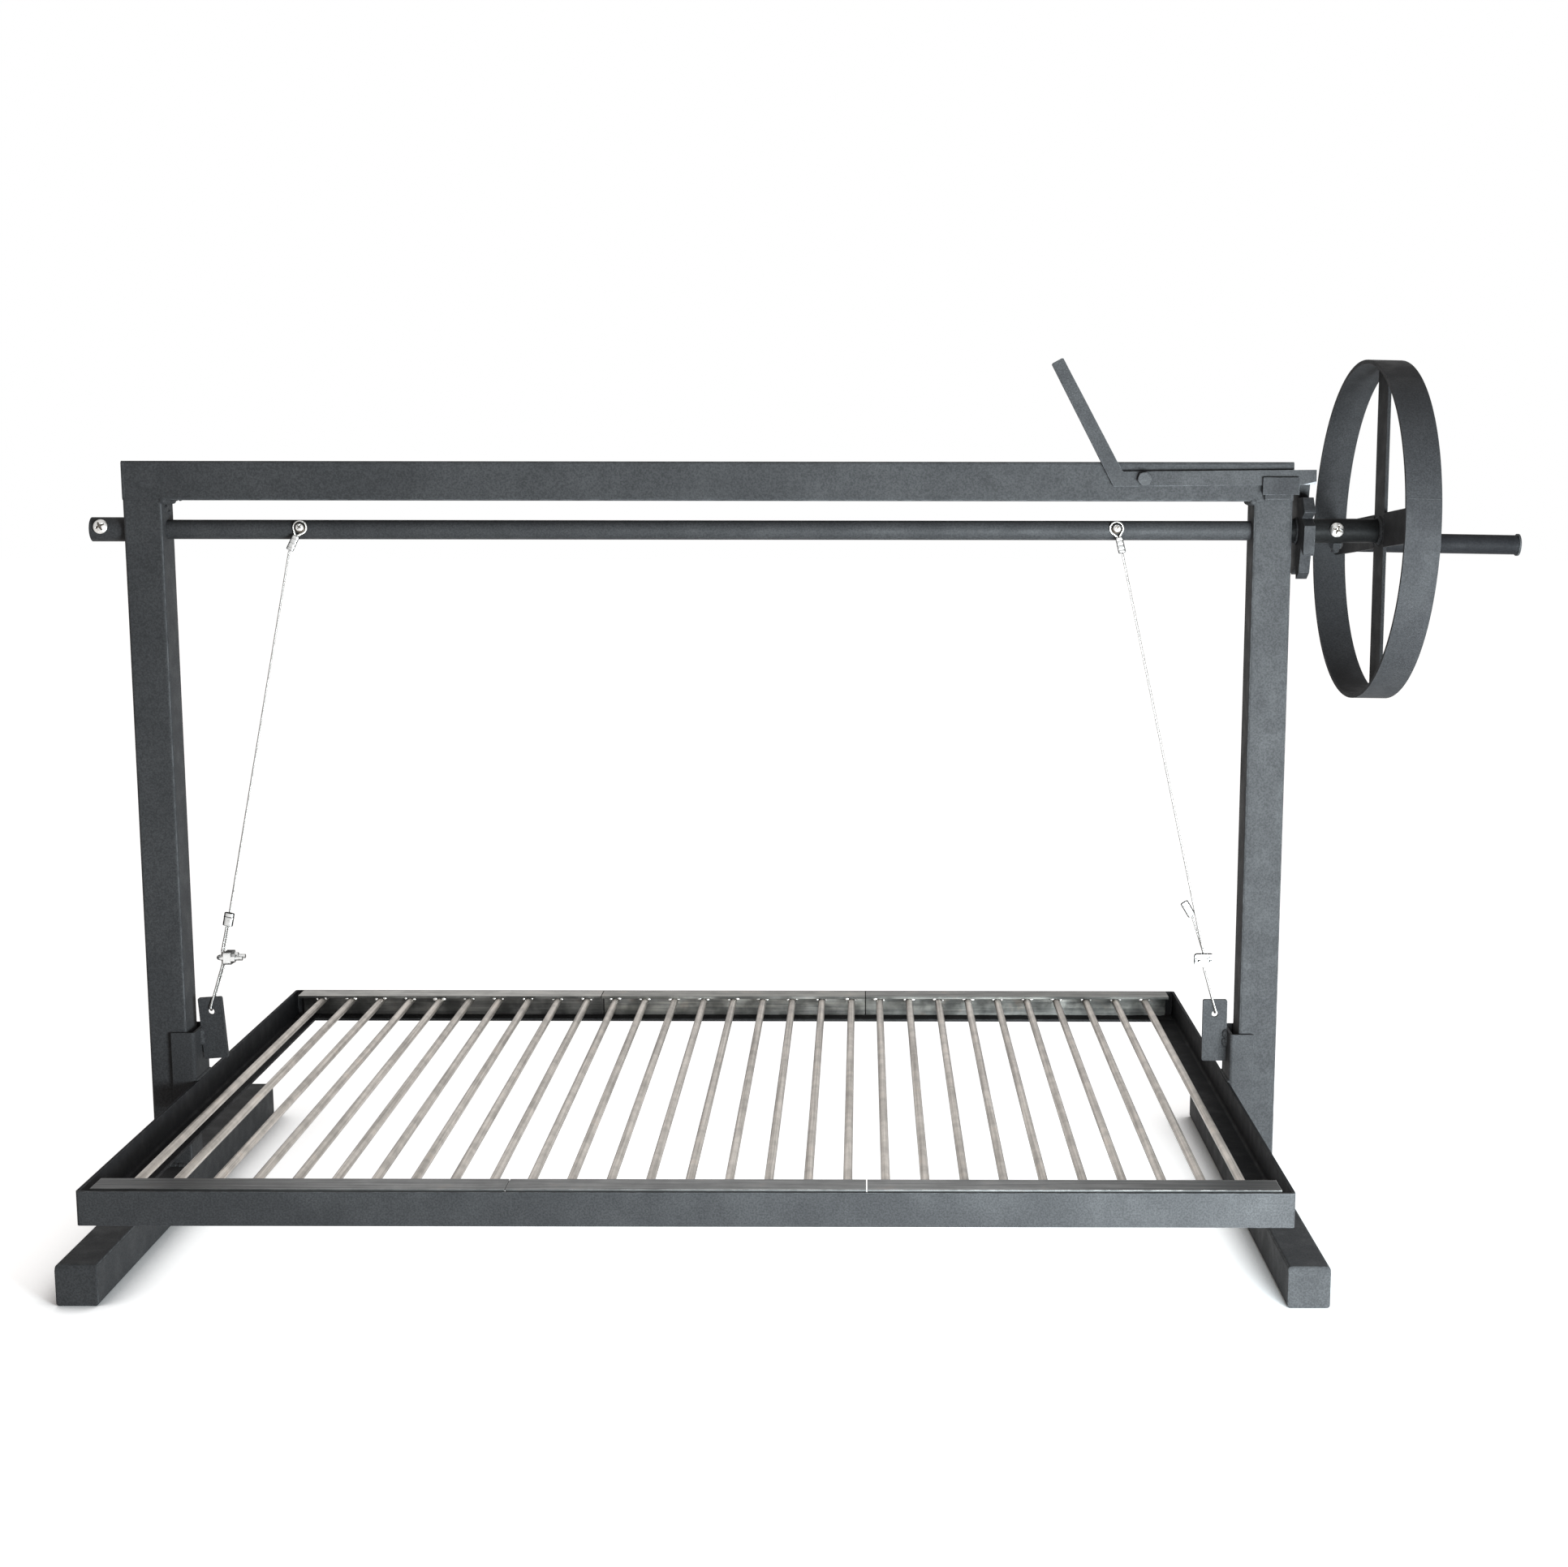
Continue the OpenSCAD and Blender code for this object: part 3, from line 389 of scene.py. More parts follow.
def bead(points, faces, route, radius, seed):
    """Adds a weld bead along route: overlapping ripples of uneven width with rounded ends."""
    ripple = 0.0024
    line, along = evenly([Vector(p) for p in route], 0.0006)
    frames = across(line)
    chance = random.Random(seed)
    length, radii, bent = along[-1], [], []
    wobble = [chance.uniform(-1, 1) for _ in range(int(length / ripple) + 3)]
    for p, w, (u, v) in zip(line, along, frames):
        cell, share = int(w / ripple), w / ripple % 1
        size = radius * (0.84 + 0.16 * math.sin(math.pi * share) + 0.10 * wobble[cell])
        end = min(w, length - w)
        if end < radius:
            size *= math.sqrt(max(0.04, 1 - (1 - end / radius) ** 2))
        drift = wobble[cell] * (1 - share) + wobble[cell + 1] * share
        radii.append(size)
        bent.append(p + 0.12 * radius * drift * u)
    tube(bent, frames, radii, 10, points, faces)


def lump(points, faces, centre, size, seed):
    """Adds an uneven blob of weld metal."""
    ball = bmesh.new()
    bmesh.ops.create_icosphere(ball, subdivisions=2, radius=1.0)
    first = len(points)
    for vertex in ball.verts:
        p = vertex.co * (1 + 0.35 * noise.noise(vertex.co * 1.7 + Vector((seed, seed * 0.7, 0))))
        points.append(Vector(centre) + Vector((p.x * size[0], p.y * size[1], p.z * size[2])))
    ball.verts.index_update()
    for face in ball.faces:
        faces.append(tuple(first + v.index for v in face.verts))
    ball.free()


# The tubes' rounded corners get a painted highlight (corner).
black_coat = coated("black_coat", (0.027, 0.027, 0.028), (0.042, 0.042, 0.043), edge=0.45, radius=0.0012,
                    corner=0.6)
dress(black_coat, "left_post", "right_post", "top_beam", "left_foot", "right_foot", "beam_end_caps")
cap_coat = coated("cap_coat", (0.026, 0.026, 0.027), (0.044, 0.044, 0.045), edge=0.25, radius=0.0026)
dress(cap_coat, "foot_end_caps")
weld_coat = coated("weld_coat", (0.025, 0.025, 0.026), (0.045, 0.045, 0.046), cloud=0.5, dull=0.6, edge=0.0,
                   radius=0.0002, relief=0.5)

# Beads in the corners under the beam and between posts and feet, and drops of weld metal at the
# left corner
under, flat_half, bead_gap = beam_low.z, 0.0185, 0.003
points, faces = [], []
for side in (-1, 1):
    inner = middle + side * post_in
    bead(points, faces, [(inner, -flat_half, under), (inner, flat_half, under)], 0.0042, 11 + side)
    for y in (-flat_half, flat_half):
        lump(points, faces, (inner, y, under), (0.0040, 0.0022, 0.0040), 3.1 * side + 90 * y)
    for y in (-1, 1):
        route = [(middle + side * x, y * tube_side / 2, foot_top)
                 for x in (post_in + bead_gap, post_in + tube_side - bead_gap)]
        bead(points, faces, route, 0.0034, 21 + side + 5 * y)
for out, y, down, size, seed in (
    (0.5600, -0.006, 0.009, (0.0016, 0.0050, 0.0045), 4.0),
    (0.5600, 0.005, 0.013, (0.0014, 0.0034, 0.0028), 7.0),
    (0.5500, -0.010, 0.0, (0.0040, 0.0020, 0.0010), 8.0),
    (0.5425, -0.013, 0.0, (0.0016, 0.0014, 0.0008), 9.0),
):
    lump(points, faces, (middle - out, y, under - down), size, seed)
frame_welds = finished_mesh("frame_welds", "frame", points, faces, weld_coat)

# Welds ground flush, which fill the beam's rounded lower edges over the posts
ground_t = 0.003
box_faces = ((0, 2, 3, 1), (4, 5, 7, 6), (0, 1, 5, 4), (2, 6, 7, 3), (0, 4, 6, 2), (1, 3, 7, 5))
points, faces = [], []
for side in (-1, 1):
    post_x = middle + side * (post_in + tube_side / 2)
    for y_low in (-tube_side / 2, tube_side / 2 - ground_t):
        first = len(points)
        points += [Vector((x, y, z)) for z in (under, under + ground_t)
                   for y in (y_low, y_low + ground_t) for x in (post_x - flat_half, post_x + flat_half)]
        faces += [tuple(first + i for i in face) for face in box_faces]
ground_welds = finished_mesh("ground_welds", "frame", points, faces, black_coat, False)

# Lever, its keeper and its bolt

# One flat bar of 15 by 5 mm, bent up into a handle, swings on a hexagon bolt in the beam's front.
# A keeper plate, welded on a small block, guides its beak over the ratchet wheel.
lever_coat = coated("lever_coat", (0.025, 0.025, 0.026), (0.042, 0.042, 0.043), cloud=0.5, dull=0.62,
                    edge=1.0, radius=0.0008)
dress(lever_coat, "pawl_lever")
# The lever's faces that slope down towards the front get a lighter grey, a painted highlight
tree = lever_coat.node_tree
slope = calc(tree, "DOT_PRODUCT", tree.nodes["Texture Coordinate"].outputs["Normal"], (0.16, -0.70, -0.70),
             kind="VectorMath")
colour = tree.nodes["Principled BSDF"].inputs["Base Color"]
coating = colour.links[0].from_socket
give(tree, colour, mixed(tree, spread(tree, slope, 0.95, 0.985), coating, painted_facet_highlight))
# The keeper and its block have a darker coat than the lever: painted shade.
painted_shade_keeper_coat = coated("painted_shade_keeper_coat", (0.016, 0.016, 0.017), (0.028, 0.028, 0.029), cloud=0.5, dull=0.62,
                     edge=0.8, radius=0.0008)
dress(painted_shade_keeper_coat, "pawl_keeper", "keeper_spacer")
bolt_coat = coated("bolt_coat", (0.030, 0.030, 0.031), (0.075, 0.075, 0.076), cloud=0.8, dull=0.50,
                   edge=0.9, radius=0.0006)
dress(bolt_coat, "pawl_bolt")
block_low, block_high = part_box("keeper_spacer")
points, faces = [], []
route = [(x, beam_low.y, block_low.z) for x in (block_low.x, block_high.x)]
bead(points, faces, route, 0.0022, 31)
route = [(block_low.x, beam_low.y, z) for z in (block_low.z + 0.001, block_high.z)]
bead(points, faces, route, 0.0018, 32)
keeper_welds = finished_mesh("keeper_welds", "frame", points, faces, weld_coat)

# Shaft, collar, ratchet wheel and hub

# A solid shaft of 20 mm runs through both posts. The collar and the hub are sleeves held by
# round-headed cross screws. The ratchet wheel is welded on the hub, and a set bolt in a
# welded nut bites into the shaft. Grease and handling have left the shaft smoother.
shaft_coat = coated("shaft_coat", (0.024, 0.024, 0.025), (0.040, 0.040, 0.041), cloud=0.45, dull=0.58,
                    edge=0.4, radius=0.0005)
dress(shaft_coat, "shaft", "left_collar")
# The hub's coat is much darker than the shaft's: painted shade.
painted_shade_hub_coat = coated("painted_shade_hub_coat", (0.006, 0.006, 0.006), (0.011, 0.011, 0.011), cloud=0.6, dull=0.50,
                  edge=0.4, radius=0.0005, sheen=0.05)
dress(painted_shade_hub_coat, "hub_sleeve")
# The ratchet wheel and the set bolt have a darker coat: painted shade.
painted_shade_ratchet_coat = coated("painted_shade_ratchet_coat", (0.016, 0.016, 0.017), (0.036, 0.036, 0.037), cloud=0.6, dull=0.60,
                      edge=0.6, radius=0.0010, sheen=0.08)
dress(painted_shade_ratchet_coat, "ratchet_wheel", "hub_lock_bolt")
zinc = bright_finish("zinc", (0.70, 0.69, 0.67), (0.28, 0.24, 0.20), grain=1400.0, wear=0.6)
# A dark metal for the screws' hollows: painted shade.
painted_recess_shade = bright_finish("painted_recess_shade", (0.16, 0.14, 0.12), (0.03, 0.03, 0.03), grain=1400.0,
                             wear=0.9)
shaft_z, sleeve_r = joints["shaft_turn"]["pos_m"][2], -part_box("left_collar")[0].y


def on_shaft(x, above, out, lean=0.0):
    """The place of a part that stands on the shaft, above degrees up from the shaft's front."""
    return (Matrix.Translation((x, 0, shaft_z)) @ Matrix.Rotation(math.radians(-above), 4, "X")
            @ Matrix.Translation((0, -out, 0)) @ Matrix.Rotation(math.radians(lean), 4, "Y"))


def cross_screw(name, node, places, head_d, head_h, shank_d, shank_l, turn, core=1.0):
    """Round-headed screws with a cross recess of tapered arms; core is the dome's share of the head."""
    rings, segments = 26, 96
    dome_d = head_d * core
    dome_r = dome_d * 0.7
    arm, arm_w, deep = dome_d * 0.31, dome_d * 0.066, head_h * 0.5
    c, s = math.cos(turn), math.sin(turn)
    profile = []
    for i in range(rings + 1):
        r = dome_d / 2 * (i / rings) ** 0.9
        profile.append((r, head_h - dome_r + math.sqrt(max(0.0, dome_r * dome_r - r * r))))
    rim = profile[-1][1]
    if core < 1.0:
        profile += [(dome_d / 2, head_h * 0.25), (head_d / 2, head_h * 0.20), (head_d / 2, 0.0)]
    else:
        profile += [(head_d / 2, rim * 0.4), (head_d / 2 - 0.0003, 0.0)]
    profile += [(shank_d / 2, 0.0), (shank_d / 2, -shank_l)]
    points, faces, sunk = [], [], set()
    for place in places:
        first = len(points)
        for r, z in profile:
            for k in range(segments):
                a = math.tau * k / segments
                x, y = r * math.cos(a), r * math.sin(a)
                u, v = abs(x * c + y * s), abs(-x * s + y * c)
                near, far = min(u, v), max(u, v)
                width = arm_w * (1.25 - 0.4 * far / arm)
                if z > rim and far < arm:
                    wall = min(1.0, max(0.0, (width - near) / (0.35 * arm_w)))
                    z_here = z - deep * wall * (1 - 0.55 * far / arm)
                else:
                    z_here = z
                if z_here < z - deep * 0.2 or (core < 1.0 and head_h * 0.1 < z < head_h * 0.5):
                    sunk.add(len(points))
                points.append(place @ Vector((x, -z_here, y)))
        skin(faces, first, len(profile), segments, both_lids=False)
    made = finished_mesh(name, "winder", points, faces, zinc)
    # The faces of the cross recess and of the groove under the dome take the dark metal: painted shade in
    # these hollows.
    made.data.materials.append(painted_recess_shade)
    for face in made.data.polygons:
        if sum(i in sunk for i in face.vertices) > 1:
            face.material_index = 1
    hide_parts(node)


collar_at, hub_at = on_shaft(middle - 0.626, 13, sleeve_r), on_shaft(middle + 0.647, 5, sleeve_r)
screw_size = {"head_d": 0.015, "head_h": 0.005, "shank_d": 0.006, "shank_l": 0.0072}
cross_screw("collar_cross_screw", "collar_screw", [collar_at], turn=0.5, **screw_size)
cross_screw("hub_cross_screw", "hub_screw", [hub_at], turn=1.2, **screw_size)


def ring_bead(points, faces, x, size, seed, middle_z=shaft_z, place=Matrix()):
    """Adds a weld bead right round a sleeve on the shaft."""
    steps = 40
    route = []
    for i in range(steps + 1):
        a = math.tau * i / steps
        route.append(place @ Vector((x, sleeve_r * math.cos(a), middle_z + sleeve_r * math.sin(a))))
    bead(points, faces, route, size, seed)


ratchet_low, ratchet_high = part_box("ratchet_wheel")
points, faces = [], []
ring_bead(points, faces, ratchet_high.x, 0.0022, 41)
ring_bead(points, faces, ratchet_low.x, 0.0018, 42)
shaft_welds = finished_mesh("shaft_welds", "winder", points, faces, weld_coat)

# Hand wheel

# Rim of flat bar 35 by 4 mm rolled to 346 mm, with a cross of flat bar welded in it and on the
# hub. It was welded a little out of square with the shaft, and its seam shows on the front band.
# The hand wheel's coat is darker than the frame's: painted shade.
painted_shade_wheel_coat = coated("painted_shade_wheel_coat", (0.0175, 0.0175, 0.0185), (0.028, 0.028, 0.029), cloud=0.35, dull=0.68,
                    edge=0.4, radius=0.0008)
dress(painted_shade_wheel_coat, "wheel_rim", "vertical_spoke", "front_spoke", "rear_spoke")
wheel_skew, wheel_lean, wheel_turn = math.radians(3), math.radians(1), math.radians(4.5)
wheel_at = Vector((middle + 0.694940, 0, shaft_z))
on_wheel = (Matrix.Translation(wheel_at) @ Matrix.Rotation(wheel_skew, 4, "Z")
            @ Matrix.Rotation(wheel_lean, 4, "Y") @ Matrix.Rotation(-wheel_turn, 4, "X"))
rim_r, rim_t, rim_w, rim_shift, spoke_t = 0.173, 0.004, 0.035, 0.008, 0.0035
rim_in, spoke_half, rim_weld_half, cross_weld_half = rim_r - rim_t, 0.0175, 0.016, 0.0165
points, faces = [], []
for quarter in range(4):
    turn = Matrix.Rotation(math.pi / 2 * quarter, 4, "X")
    for face in (-1, 1):
        route = []
        for i in range(13):
            y = rim_weld_half * (i / 6 - 1)
            route.append(on_wheel @ turn @ Vector((face * spoke_t / 2, y, math.sqrt(rim_in ** 2 - y ** 2))))
        bead(points, faces, route, 0.0024, 51 + quarter + 10 * face)
for face in (-1, 1):
    for quarter in (1, 3):
        turn = Matrix.Rotation(math.pi / 2 * quarter, 4, "X")
        route = [on_wheel @ turn @ Vector((face * spoke_t / 2 * 0.6, y, spoke_half))
                 for y in (-cross_weld_half, cross_weld_half)]
        bead(points, faces, route, 0.0016, 61 + quarter + 10 * face)
ring_bead(points, faces, -spoke_t / 2, 0.0030, 71, 0.0, on_wheel)
seam_a = math.radians(173)
route = [on_wheel @ Vector((x, rim_r * math.cos(seam_a), rim_r * math.sin(seam_a)))
         for x in (-rim_w / 2 - rim_shift + 0.001, rim_w / 2 - rim_shift - 0.001)]
bead(points, faces, route, 0.0004, 72)
wheel_welds = finished_mesh("wheel_welds", "winder", points, faces, weld_coat)

# Crank pin, washer and grip

# The pin is welded to the rear spoke. A steel tube turns freely on it as the grip, and a washer
# welded to the pin's end keeps it on.
# The grip's coat is much darker: painted shade.
painted_shade_grip_coat = coated("painted_shade_grip_coat", (0.009, 0.009, 0.010), (0.017, 0.017, 0.018), cloud=0.5, dull=0.60,
                   edge=0.6, radius=0.0008, sheen=0.07)
dress(painted_shade_grip_coat, "crank_grip")
pin_coat = coated("pin_coat", (0.028, 0.028, 0.029), (0.060, 0.060, 0.061), cloud=0.7, dull=0.50,
                  edge=1.0, radius=0.0010)
dress(pin_coat, "crank_pin", "crank_washer")

# Rope anchors

# Each rope ends in an eye round a cross screw in the shaft. An aluminium ferrule, pressed flat,
# closes the eye, with the marks of the crimping jaws across it.
eye_r, eye_out = 0.0066, 0.0112
ferrule_l, ferrule_w, ferrule_t = 0.016, 0.0075, 0.0045
neck, neck_z, neck_low = 0.0013, -eye_r - 0.0022, -eye_r - 0.0055
anchor_out, anchor_up, left_lean, right_lean = 0.421, 12, 24.0, -12.0
# The aluminium darkens strongly where it turns away from the view: a painted shade that outlines the
# ferrules and sleeves.
aluminium = bright_finish("aluminium", (0.66, 0.66, 0.65), (0.38, 0.37, 0.36), grain=700.0, wear=0.6,
                          least=0.05, start=0.03, end=0.32)


def pressed_sleeve(points, faces, place, length, width, thick, jaws):
    """Adds a flat oval sleeve along +Z, pinched by the jaws at the given shares of its length."""
    first, rings, sides, edge = len(points), 60, 36, 0.0004
    for i in range(rings + 1):
        w = i / rings
        pinch = max([math.exp(-((w - j) / 0.045) ** 2) for j in jaws] + [0.0])
        end = min(w, 1 - w) * length
        shrink = edge * max(0.0, 1 - end / edge) if end < edge else 0.0
        a = width / 2 * (1 + 0.05 * pinch) - shrink
        b = thick / 2 * (1 - 0.20 * pinch) - shrink
        for k in range(sides):
            t = math.tau * k / sides
            c, s = math.cos(t), math.sin(t)
            x = a * math.copysign(abs(c) ** 0.72, c)
            y = b * math.copysign(abs(s) ** 0.72, s)
            rough = 0.00004 * noise.noise(Vector((x, y, w * length)) * 900)
            points.append(place @ Vector((x + rough, y + rough, w * length)))
    skin(faces, first, rings + 1, sides)


screw_places, ferrules, ferrule_faces, eye_ropes = [], [], [], []
for x, lean in ((middle - anchor_out, left_lean), (middle + anchor_out, right_lean)):
    screw_places.append(on_shaft(x, anchor_up, eye_out + rope_d / 2 + 0.0001))
    place = on_shaft(x, anchor_up, eye_out, lean)
    pressed_sleeve(ferrules, ferrule_faces, place @ Matrix.Translation((0, 0, -eye_r - 0.003 - ferrule_l)),
                   ferrule_l, ferrule_w, ferrule_t, (0.2, 0.5, 0.8))
    route = [Vector((-neck, 0, neck_low)), Vector((-neck, 0, neck_z))]
    for degrees in range(-50, 231, 10):
        a = math.radians(degrees)
        route.append(Vector((-eye_r * math.cos(a), 0, eye_r * math.sin(a))))
    route += [Vector((neck, 0, neck_z)), Vector((neck, 0, neck_low))]
    eye_ropes.append([place @ p for p in route])
made = finished_mesh("anchor_sleeves", "winder", ferrules, ferrule_faces, aluminium)
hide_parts("anchor_ferrules")
cross_screw("anchor_cross_screws", "anchor_screws", screw_places, head_d=0.0114, head_h=0.0036,
            shank_d=0.006, shank_l=0.013, turn=0.9, core=0.74)
bright_rope = bright_finish("bright_rope", (0.84, 0.83, 0.80), (0.45, 0.42, 0.38), grain=900.0,
                            wear=0.3)
left_eye = laid_rope("left_rope_eye", "winder", eye_ropes[0], bright_rope, lay=0.009)
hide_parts("anchor_eyes")
right_eye = laid_rope("right_rope_eye", "winder", eye_ropes[1], bright_rope, lay=0.009)

# Tray, guides and hanger plates

# Angle iron of 32 by 30 mm welded into a tray. A folded channel on each side slides on a post,
# and a plate welded on edge to each channel takes the rope in its hole.
tray_coat = coated("tray_coat", (0.025, 0.025, 0.026), (0.043, 0.043, 0.044), cloud=0.45, dull=0.66,
                   edge=0.7, radius=0.0009)
dress(tray_coat, "front_rail", "rear_rail")
# The tray's side rails have a much darker coat: soot, and painted shade inside the tray.
soot_and_shade_side_coat = coated("soot_and_shade_side_coat", (0.009, 0.009, 0.010), (0.017, 0.017, 0.018), cloud=0.45, dull=0.66,
                   edge=0.6, radius=0.0009, sheen=0.07)
dress(soot_and_shade_side_coat, "left_rail", "right_rail")
guide_coat = coated("guide_coat", (0.024, 0.024, 0.025), (0.038, 0.038, 0.039), cloud=0.4, dull=0.68,
                    edge=0.35, radius=0.0008)
dress(guide_coat, "left_guide", "right_guide", "left_hanger", "right_hanger")
rail_low, rail_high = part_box("right_rail")
guide_low, guide_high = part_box("right_guide")
web_out, plate_top, leg_t = guide_low.x - middle, guide_high.z - 0.0005, 0.003
points, faces = [], []
for side in (-1, 1):
    web = middle + side * web_out
    bead(points, faces, [(web, -0.0255, rail_high.z), (web, 0.0255, rail_high.z)], 0.0022, 81 + side)
    bead(points, faces, [(web, -0.0030, 0.170), (web, -0.0030, plate_top)], 0.0034, 83 + side)
    bead(points, faces, [(web, 0.0030, 0.160), (web, 0.0030, plate_top)], 0.0028, 85 + side)
    lump(points, faces, (web - side * 0.001, -0.0026, 0.1745), (0.0040, 0.0030, 0.0055), 1.3 + side)
    lump(points, faces, (web - side * 0.001, -0.0026, 0.1835), (0.0038, 0.0030, 0.0050), 2.3 + side)
    for y in (-1, 1):
        corner_y, x, z = y * rail_high.y, middle + side * (web_out - 0.0325), rail_low.z + leg_t
        bead(points, faces, [(x, corner_y, z), (x, y * 0.366, z)], 0.0010, 87 + side + 3 * y)
        x = middle + side * (web_out - leg_t)
        bead(points, faces, [(x, corner_y, 0.112), (x, corner_y, 0.134)], 0.0018, 91 + side + 3 * y)
tray_welds = finished_mesh("tray_welds", "carriage", points, faces, weld_coat)

# Rope clips and rope loops

# Each rope goes through its hanger's hole and back up, held by a galvanised U-bolt clip. On the
# left a pressed sleeve closes both strands, and on the right the cut end has a sleeve of its own.
clip_zinc = bright_finish("clip_zinc", (0.82, 0.82, 0.81), (0.40, 0.38, 0.35), grain=1100.0, wear=0.5)
dress(clip_zinc, "left_clip", "right_clip")
rope_side, hanger_t, hole_d, hole_z = rope_d / 2 + 0.00005, 0.004, 0.007, 0.205
loop_r = hanger_t / 2 + rope_d - 0.0002
loop_z = hole_z + hole_d / 2 + math.sqrt((loop_r - rope_d / 2 - 0.0003) ** 2 - (hanger_t / 2) ** 2)


def loop_route(clip, hole, way, front_top, rear_top):
    """The loop's line: down through the clip, round through the hole and up again. way points from
    the front strand to the rear one."""
    up, rear = Vector((0, 0, 0.007)), rope_side * way
    turn = []
    for degrees in range(0, 181, 15):
        a = math.radians(degrees)
        turn.append(hole + loop_r * Vector((0, -math.cos(a), -math.sin(a))))
    return [front_top, clip + up - rear, clip - up - rear, *turn,
            clip - up + rear, clip + up + rear, rear_top]


clip_low, clip_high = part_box("left_clip")
clip_out, clip_z = 0.523, (clip_low.z + clip_high.z) / 2
left_clip = Vector((middle - clip_out, 0, clip_z))
left_hole = Vector((middle - 0.538186, 0, loop_z + 0.000845))
left_top = Vector((middle - 0.517, 0, 0.299))
way = Vector((1, 0, 0))
route = loop_route(left_clip, left_hole, way, left_top - rope_side * way, left_top + rope_side * way)
left_loop = laid_rope("left_loop", "carriage", route, galvanised_rope)
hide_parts("left_rope_loop")
right_tail = Vector((middle + 0.5105, 0.003, 0.311))
right_clip = Vector((middle + clip_out, 0, clip_z))
right_hole = Vector((middle + 0.537, 0, loop_z))
right_top = Vector((middle + 0.5218, -rope_side, 0.277))
route = loop_route(right_clip, right_hole, Vector((0, 1, 0)), right_top, right_tail)
right_loop = laid_rope("right_loop", "carriage", route, galvanised_rope)
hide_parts("right_rope_loop")
points, faces = [], []
sleeve_place = (Matrix.Translation(left_top) @ Matrix.Rotation(math.radians(11), 4, "Y")
                @ Matrix.Translation((0, 0, 0.0004)))
pressed_sleeve(points, faces, sleeve_place, 0.014, 0.0105, 0.0065, (0.66,))
made = finished_mesh("left_pressed_sleeve", "carriage", points, faces, aluminium)
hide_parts("left_crimp_sleeve")
points, faces = [], []
tail_place = (Matrix.Translation(right_tail) @ Matrix.Rotation(math.radians(-31), 4, "Y")
              @ Matrix.Translation((0, 0, 0.0003)))
pressed_sleeve(points, faces, tail_place, 0.017, 0.0086, 0.005, (0.25, 0.75))
made = finished_mesh("right_pressed_sleeve", "carriage", points, faces, aluminium)
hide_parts("right_tail_ferrule")

# Grates

# Three loose grates of bare steel: round bars of 8.5 mm under two lengths of angle iron. Bright
# tack welds on both sides of each bar hold it to the edge of the angle iron's upper leg. The
# steel is as it was rolled, with a few rusty spots.
rolled_steel, given, result = new_group(
    "rolled_steel",
    [("Vector", "Vector"), ("Stretch", "Vector"), ("Light", "Color"), ("Dark", "Color"), ("Rust", "Float")],
    [("Colour", "Color"), ("Roughness", "Float"), ("Height", "Float")],
)
rust_brown, painted_edge_highlight = (0.34, 0.21, 0.13, 1), (0.86, 0.84, 0.80, 1)
along_bar = calc(rolled_steel, "MULTIPLY", given["Vector"], given["Stretch"], kind="VectorMath")
streaks = speckle(rolled_steel, along_bar, 1.0, 5.0, 0.6)
patches = speckle(rolled_steel, given["Vector"], 38.0, 5.0, 0.6)
base = mixed(rolled_steel, spread(rolled_steel, streaks, 0.3, 0.7), given["Dark"], given["Light"])
patchy = dimmed(rolled_steel, base, spread(rolled_steel, patches, 0.3, 0.7, 0.78, 1.16))
rusty = calc(rolled_steel, "MULTIPLY", spread(rolled_steel, patches, 0.58, 0.70), given["Rust"])
give(rolled_steel, result["Colour"], mixed(rolled_steel, rusty, patchy, rust_brown))
give(rolled_steel, result["Roughness"], spread(rolled_steel, streaks, 0.3, 0.7, 0.52, 0.36))
give(rolled_steel, result["Height"], speckle(rolled_steel, given["Vector"], 420.0, 3.0))


def bare_steel(name, stretch, light, dark, rust, metal, scaled=None, ends=None):
    """Bare rolled steel, streaked along the axis where stretch is smallest. scaled is how light its
    upright faces are in patches: black mill scale left on them, and painted shade. ends is how light the
    two ends of a row of rails are, which also get a painted highlight along their edges, stronger to the
    right."""
    material, tree, shader, where = shaded(name, Metallic=metal)
    looks = placed_group(tree, rolled_steel, Vector=where, Stretch=stretch, Light=(*light, 1),
                         Dark=(*dark, 1), Rust=rust)
    colour, highlight_share = looks["Colour"], 0.0
    if scaled is not None:
        # Upright faces darker in patches: black mill scale, and painted shade.
        face = tree.nodes.new("ShaderNodeTexCoord").outputs["Normal"]
        facing_up = add(tree, "SeparateXYZ", Vector=face).outputs["Z"]
        scale_and_shade = spread(tree, speckle(tree, where, 26.0, 4.0), 0.40, 0.62, scaled * 0.35, scaled)
        colour = mixed(tree, spread(tree, facing_up, 0.6, 0.3), colour, dimmed(tree, colour, scale_and_shade))
    if ends is not None:
        along = add(tree, "SeparateXYZ", Vector=where).outputs["X"]
        out = calc(tree, "ABSOLUTE", calc(tree, "SUBTRACT", along, middle))
        colour = dimmed(tree, colour, spread(tree, out, 0.24, 0.52, 1.0, ends))
        # A painted highlight along the rails' edges, stronger to the right.
        highlight_share = spread(tree, along, -0.55, 0.25, 0.10, 1.0)
    # Steel with neither gets a painted shade at its sides, where it turns away from the view.
    if scaled is None and ends is None:
        colour = painted_side_shade(tree, colour, 0.35, 0.72, 0.99)
    edges = placed_group(tree, edge_wear_and_highlight, Vector=where, Radius=0.0008, Amount=highlight_share)
    if ends is not None:
        colour = mixed(tree, edges["Mask"], colour, painted_edge_highlight)
    finish(tree, shader, colour, looks, 0.2, 0.0003, edges["Normal"])
    return material


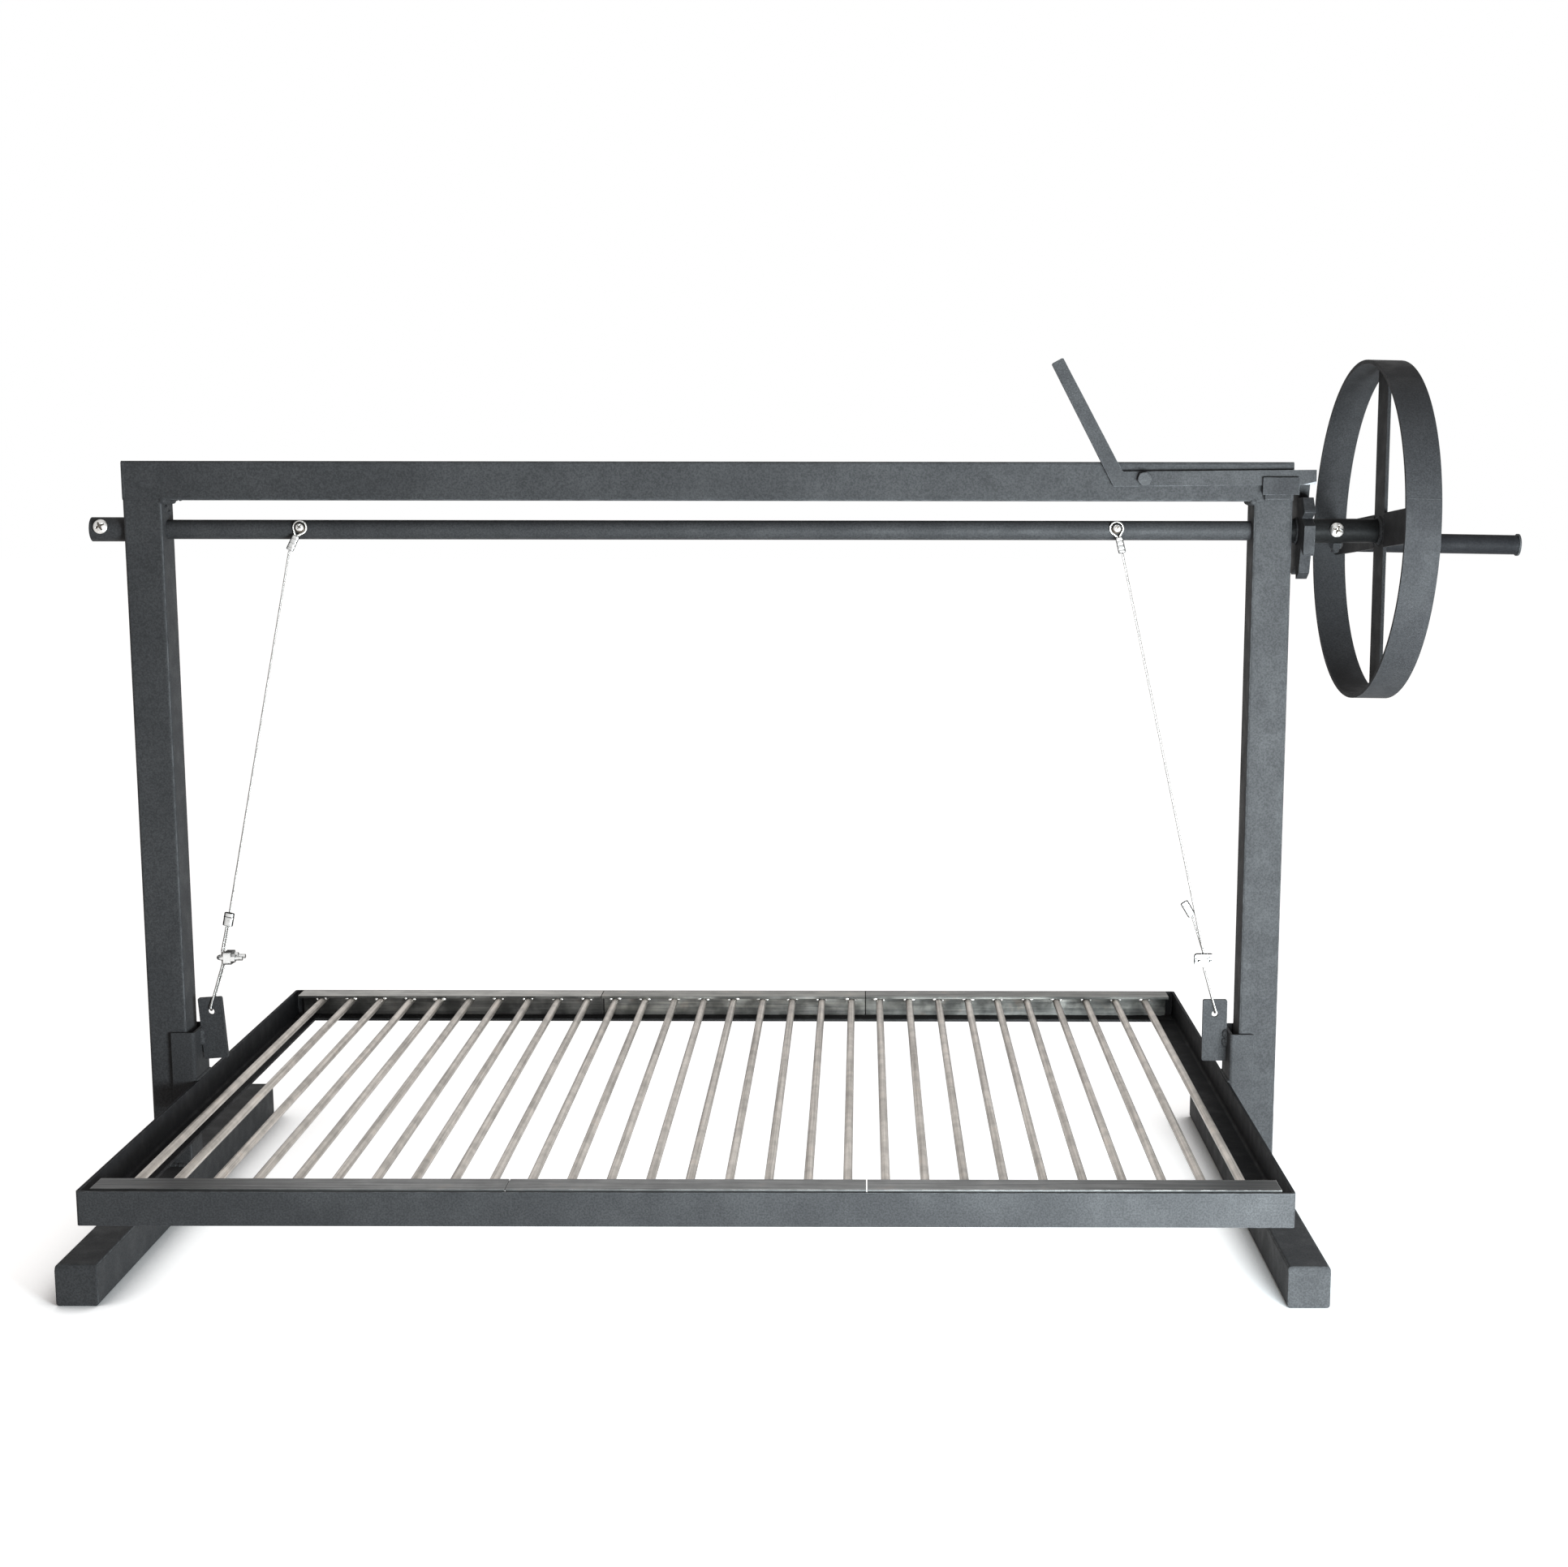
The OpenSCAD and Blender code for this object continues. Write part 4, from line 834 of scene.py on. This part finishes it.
bar_stretch, rail_stretch = (420, 5, 420), (9, 300, 300)
bar_steel = bare_steel("bar_steel", bar_stretch, (0.58, 0.53, 0.48), (0.34, 0.31, 0.28), rust=0.2,
                       metal=0.85)
front_rail_steel = bare_steel("front_rail_steel", rail_stretch, (0.18, 0.18, 0.175), (0.11, 0.11, 0.11),
                              rust=0.1, metal=0.6, ends=0.20)
weld_metal = bright_finish("weld_metal", (0.70, 0.69, 0.67), (0.08, 0.075, 0.07), grain=500.0,
                           wear=0.75, relief=0.3)
bar_r, bar_pitch = 0.00425, 0.0365
for side, count, light, dark, scaled in (
    ("left", 10, (0.42, 0.41, 0.38), (0.24, 0.23, 0.22), 0.34),
    ("middle", 9, (0.29, 0.28, 0.25), (0.15, 0.145, 0.14), 0.85),
    ("right", 10, (0.18, 0.175, 0.16), (0.095, 0.095, 0.09), 1.0),
):
    body = side + "_grate"
    dress(bar_steel, body + "_bars")
    dress(front_rail_steel, body + "_front_rail")
    rear_rail_steel = bare_steel(side + "_rail_steel", rail_stretch, light, dark, rust=0.15, metal=0.8,
                                 scaled=scaled)
    dress(rear_rail_steel, body + "_rear_rail")
    first_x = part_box(body + "_bars")[0].x + bar_r
    rail_low, rail_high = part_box(body + "_rear_rail")
    points, faces = [], []
    for i in range(count):
        x = first_x + i * bar_pitch
        for end in (-1, 1):
            chance = random.Random(1000 * i + 10 * end + len(side))
            for way in (-1, 1):
                size = (chance.uniform(0.0016, 0.0032), chance.uniform(0.0010, 0.0024),
                        chance.uniform(0.0008, 0.0020))
                centre = (x + way * 0.0052, end * (rail_low.y + 0.0004),
                          rail_high.z - leg_t - chance.uniform(0, 0.0012))
                lump(points, faces, centre, size, chance.uniform(0, 50))
    welds = finished_mesh(body + "_welds", body, points, faces, weld_metal)

# Floor and light

# White studio floor and white surroundings. A soft lamp stands low at the front right, so that
# faces to the front grow lighter to the right and faces upwards stay dark. The floor keeps the
# grill's shadow, and near the grill its glow is dimmed as a painted contact shadow.
white, grey_light = (1, 1, 1, 1), (0.400, 0.378, 0.365, 1)


def seen_clearly(tree):
    """1 for rays from the camera, off a polished face or through glass, and 0 for all others."""
    paths = tree.nodes.new("ShaderNodeLightPath").outputs
    either = calc(tree, "MAXIMUM", paths["Is Camera Ray"], paths["Is Glossy Ray"])
    return calc(tree, "MAXIMUM", either, paths["Is Transmission Ray"])


floor_material, tree, shader, _ = shaded("white_floor", Roughness=0.9, Specular_IOR_Level=0.0,
                                         Base_Color=(0.86, 0.86, 0.86, 1), Emission_Color=white)
# The glow dims where the grill closes the floor in: a painted contact shadow.
unblocked = add(tree, "AmbientOcclusion", {"samples": 8}, Distance=0.085).outputs["AO"]
glow = calc(tree, "MULTIPLY", seen_clearly(tree), spread(tree, unblocked, 0.52, 0.985, 0.0, 0.74))
give(tree, shader.inputs["Emission Strength"], glow)
floor_data = bpy.data.meshes.new("studio_floor")
floor_corners = [(-14, -10, 0), (14, -10, 0), (14, 18, 0), (-14, 18, 0)]
floor_data.from_pydata(floor_corners, [], [(0, 1, 2, 3)])
floor_data.materials.append(floor_material)
floor = bpy.data.objects.new("studio_floor", floor_data)
floor.location.z = -0.0002
bpy.context.collection.objects.link(floor)

world = bpy.data.worlds.new("white_room")
bpy.context.scene.world = world
world.use_nodes = True
tree = world.node_tree
backing = tree.nodes["Background"]
give(tree, backing.inputs["Color"], mixed(tree, seen_clearly(tree), grey_light, white))


def soft_lamp(name, place, aim, size, power, colour):
    """A rectangular soft lamp."""
    data = bpy.data.lights.new(name, "AREA")
    data.shape = "RECTANGLE"
    data.size, data.size_y = size
    data.energy = power
    data.color = colour
    lamp = bpy.data.objects.new(name, data)
    lamp.location = place
    lamp.rotation_euler = (Vector(aim) - Vector(place)).to_track_quat("-Z", "Y").to_euler()
    lamp.visible_camera = False
    bpy.context.collection.objects.link(lamp)


soft_lamp("low_lamp", (0.8, -1.5, 0.25), (0.88, 0.0, 0.38), (0.9, 0.5), 112.0, (0.84, 0.94, 0.99))
bpy.context.scene.view_settings.view_transform = "Standard"
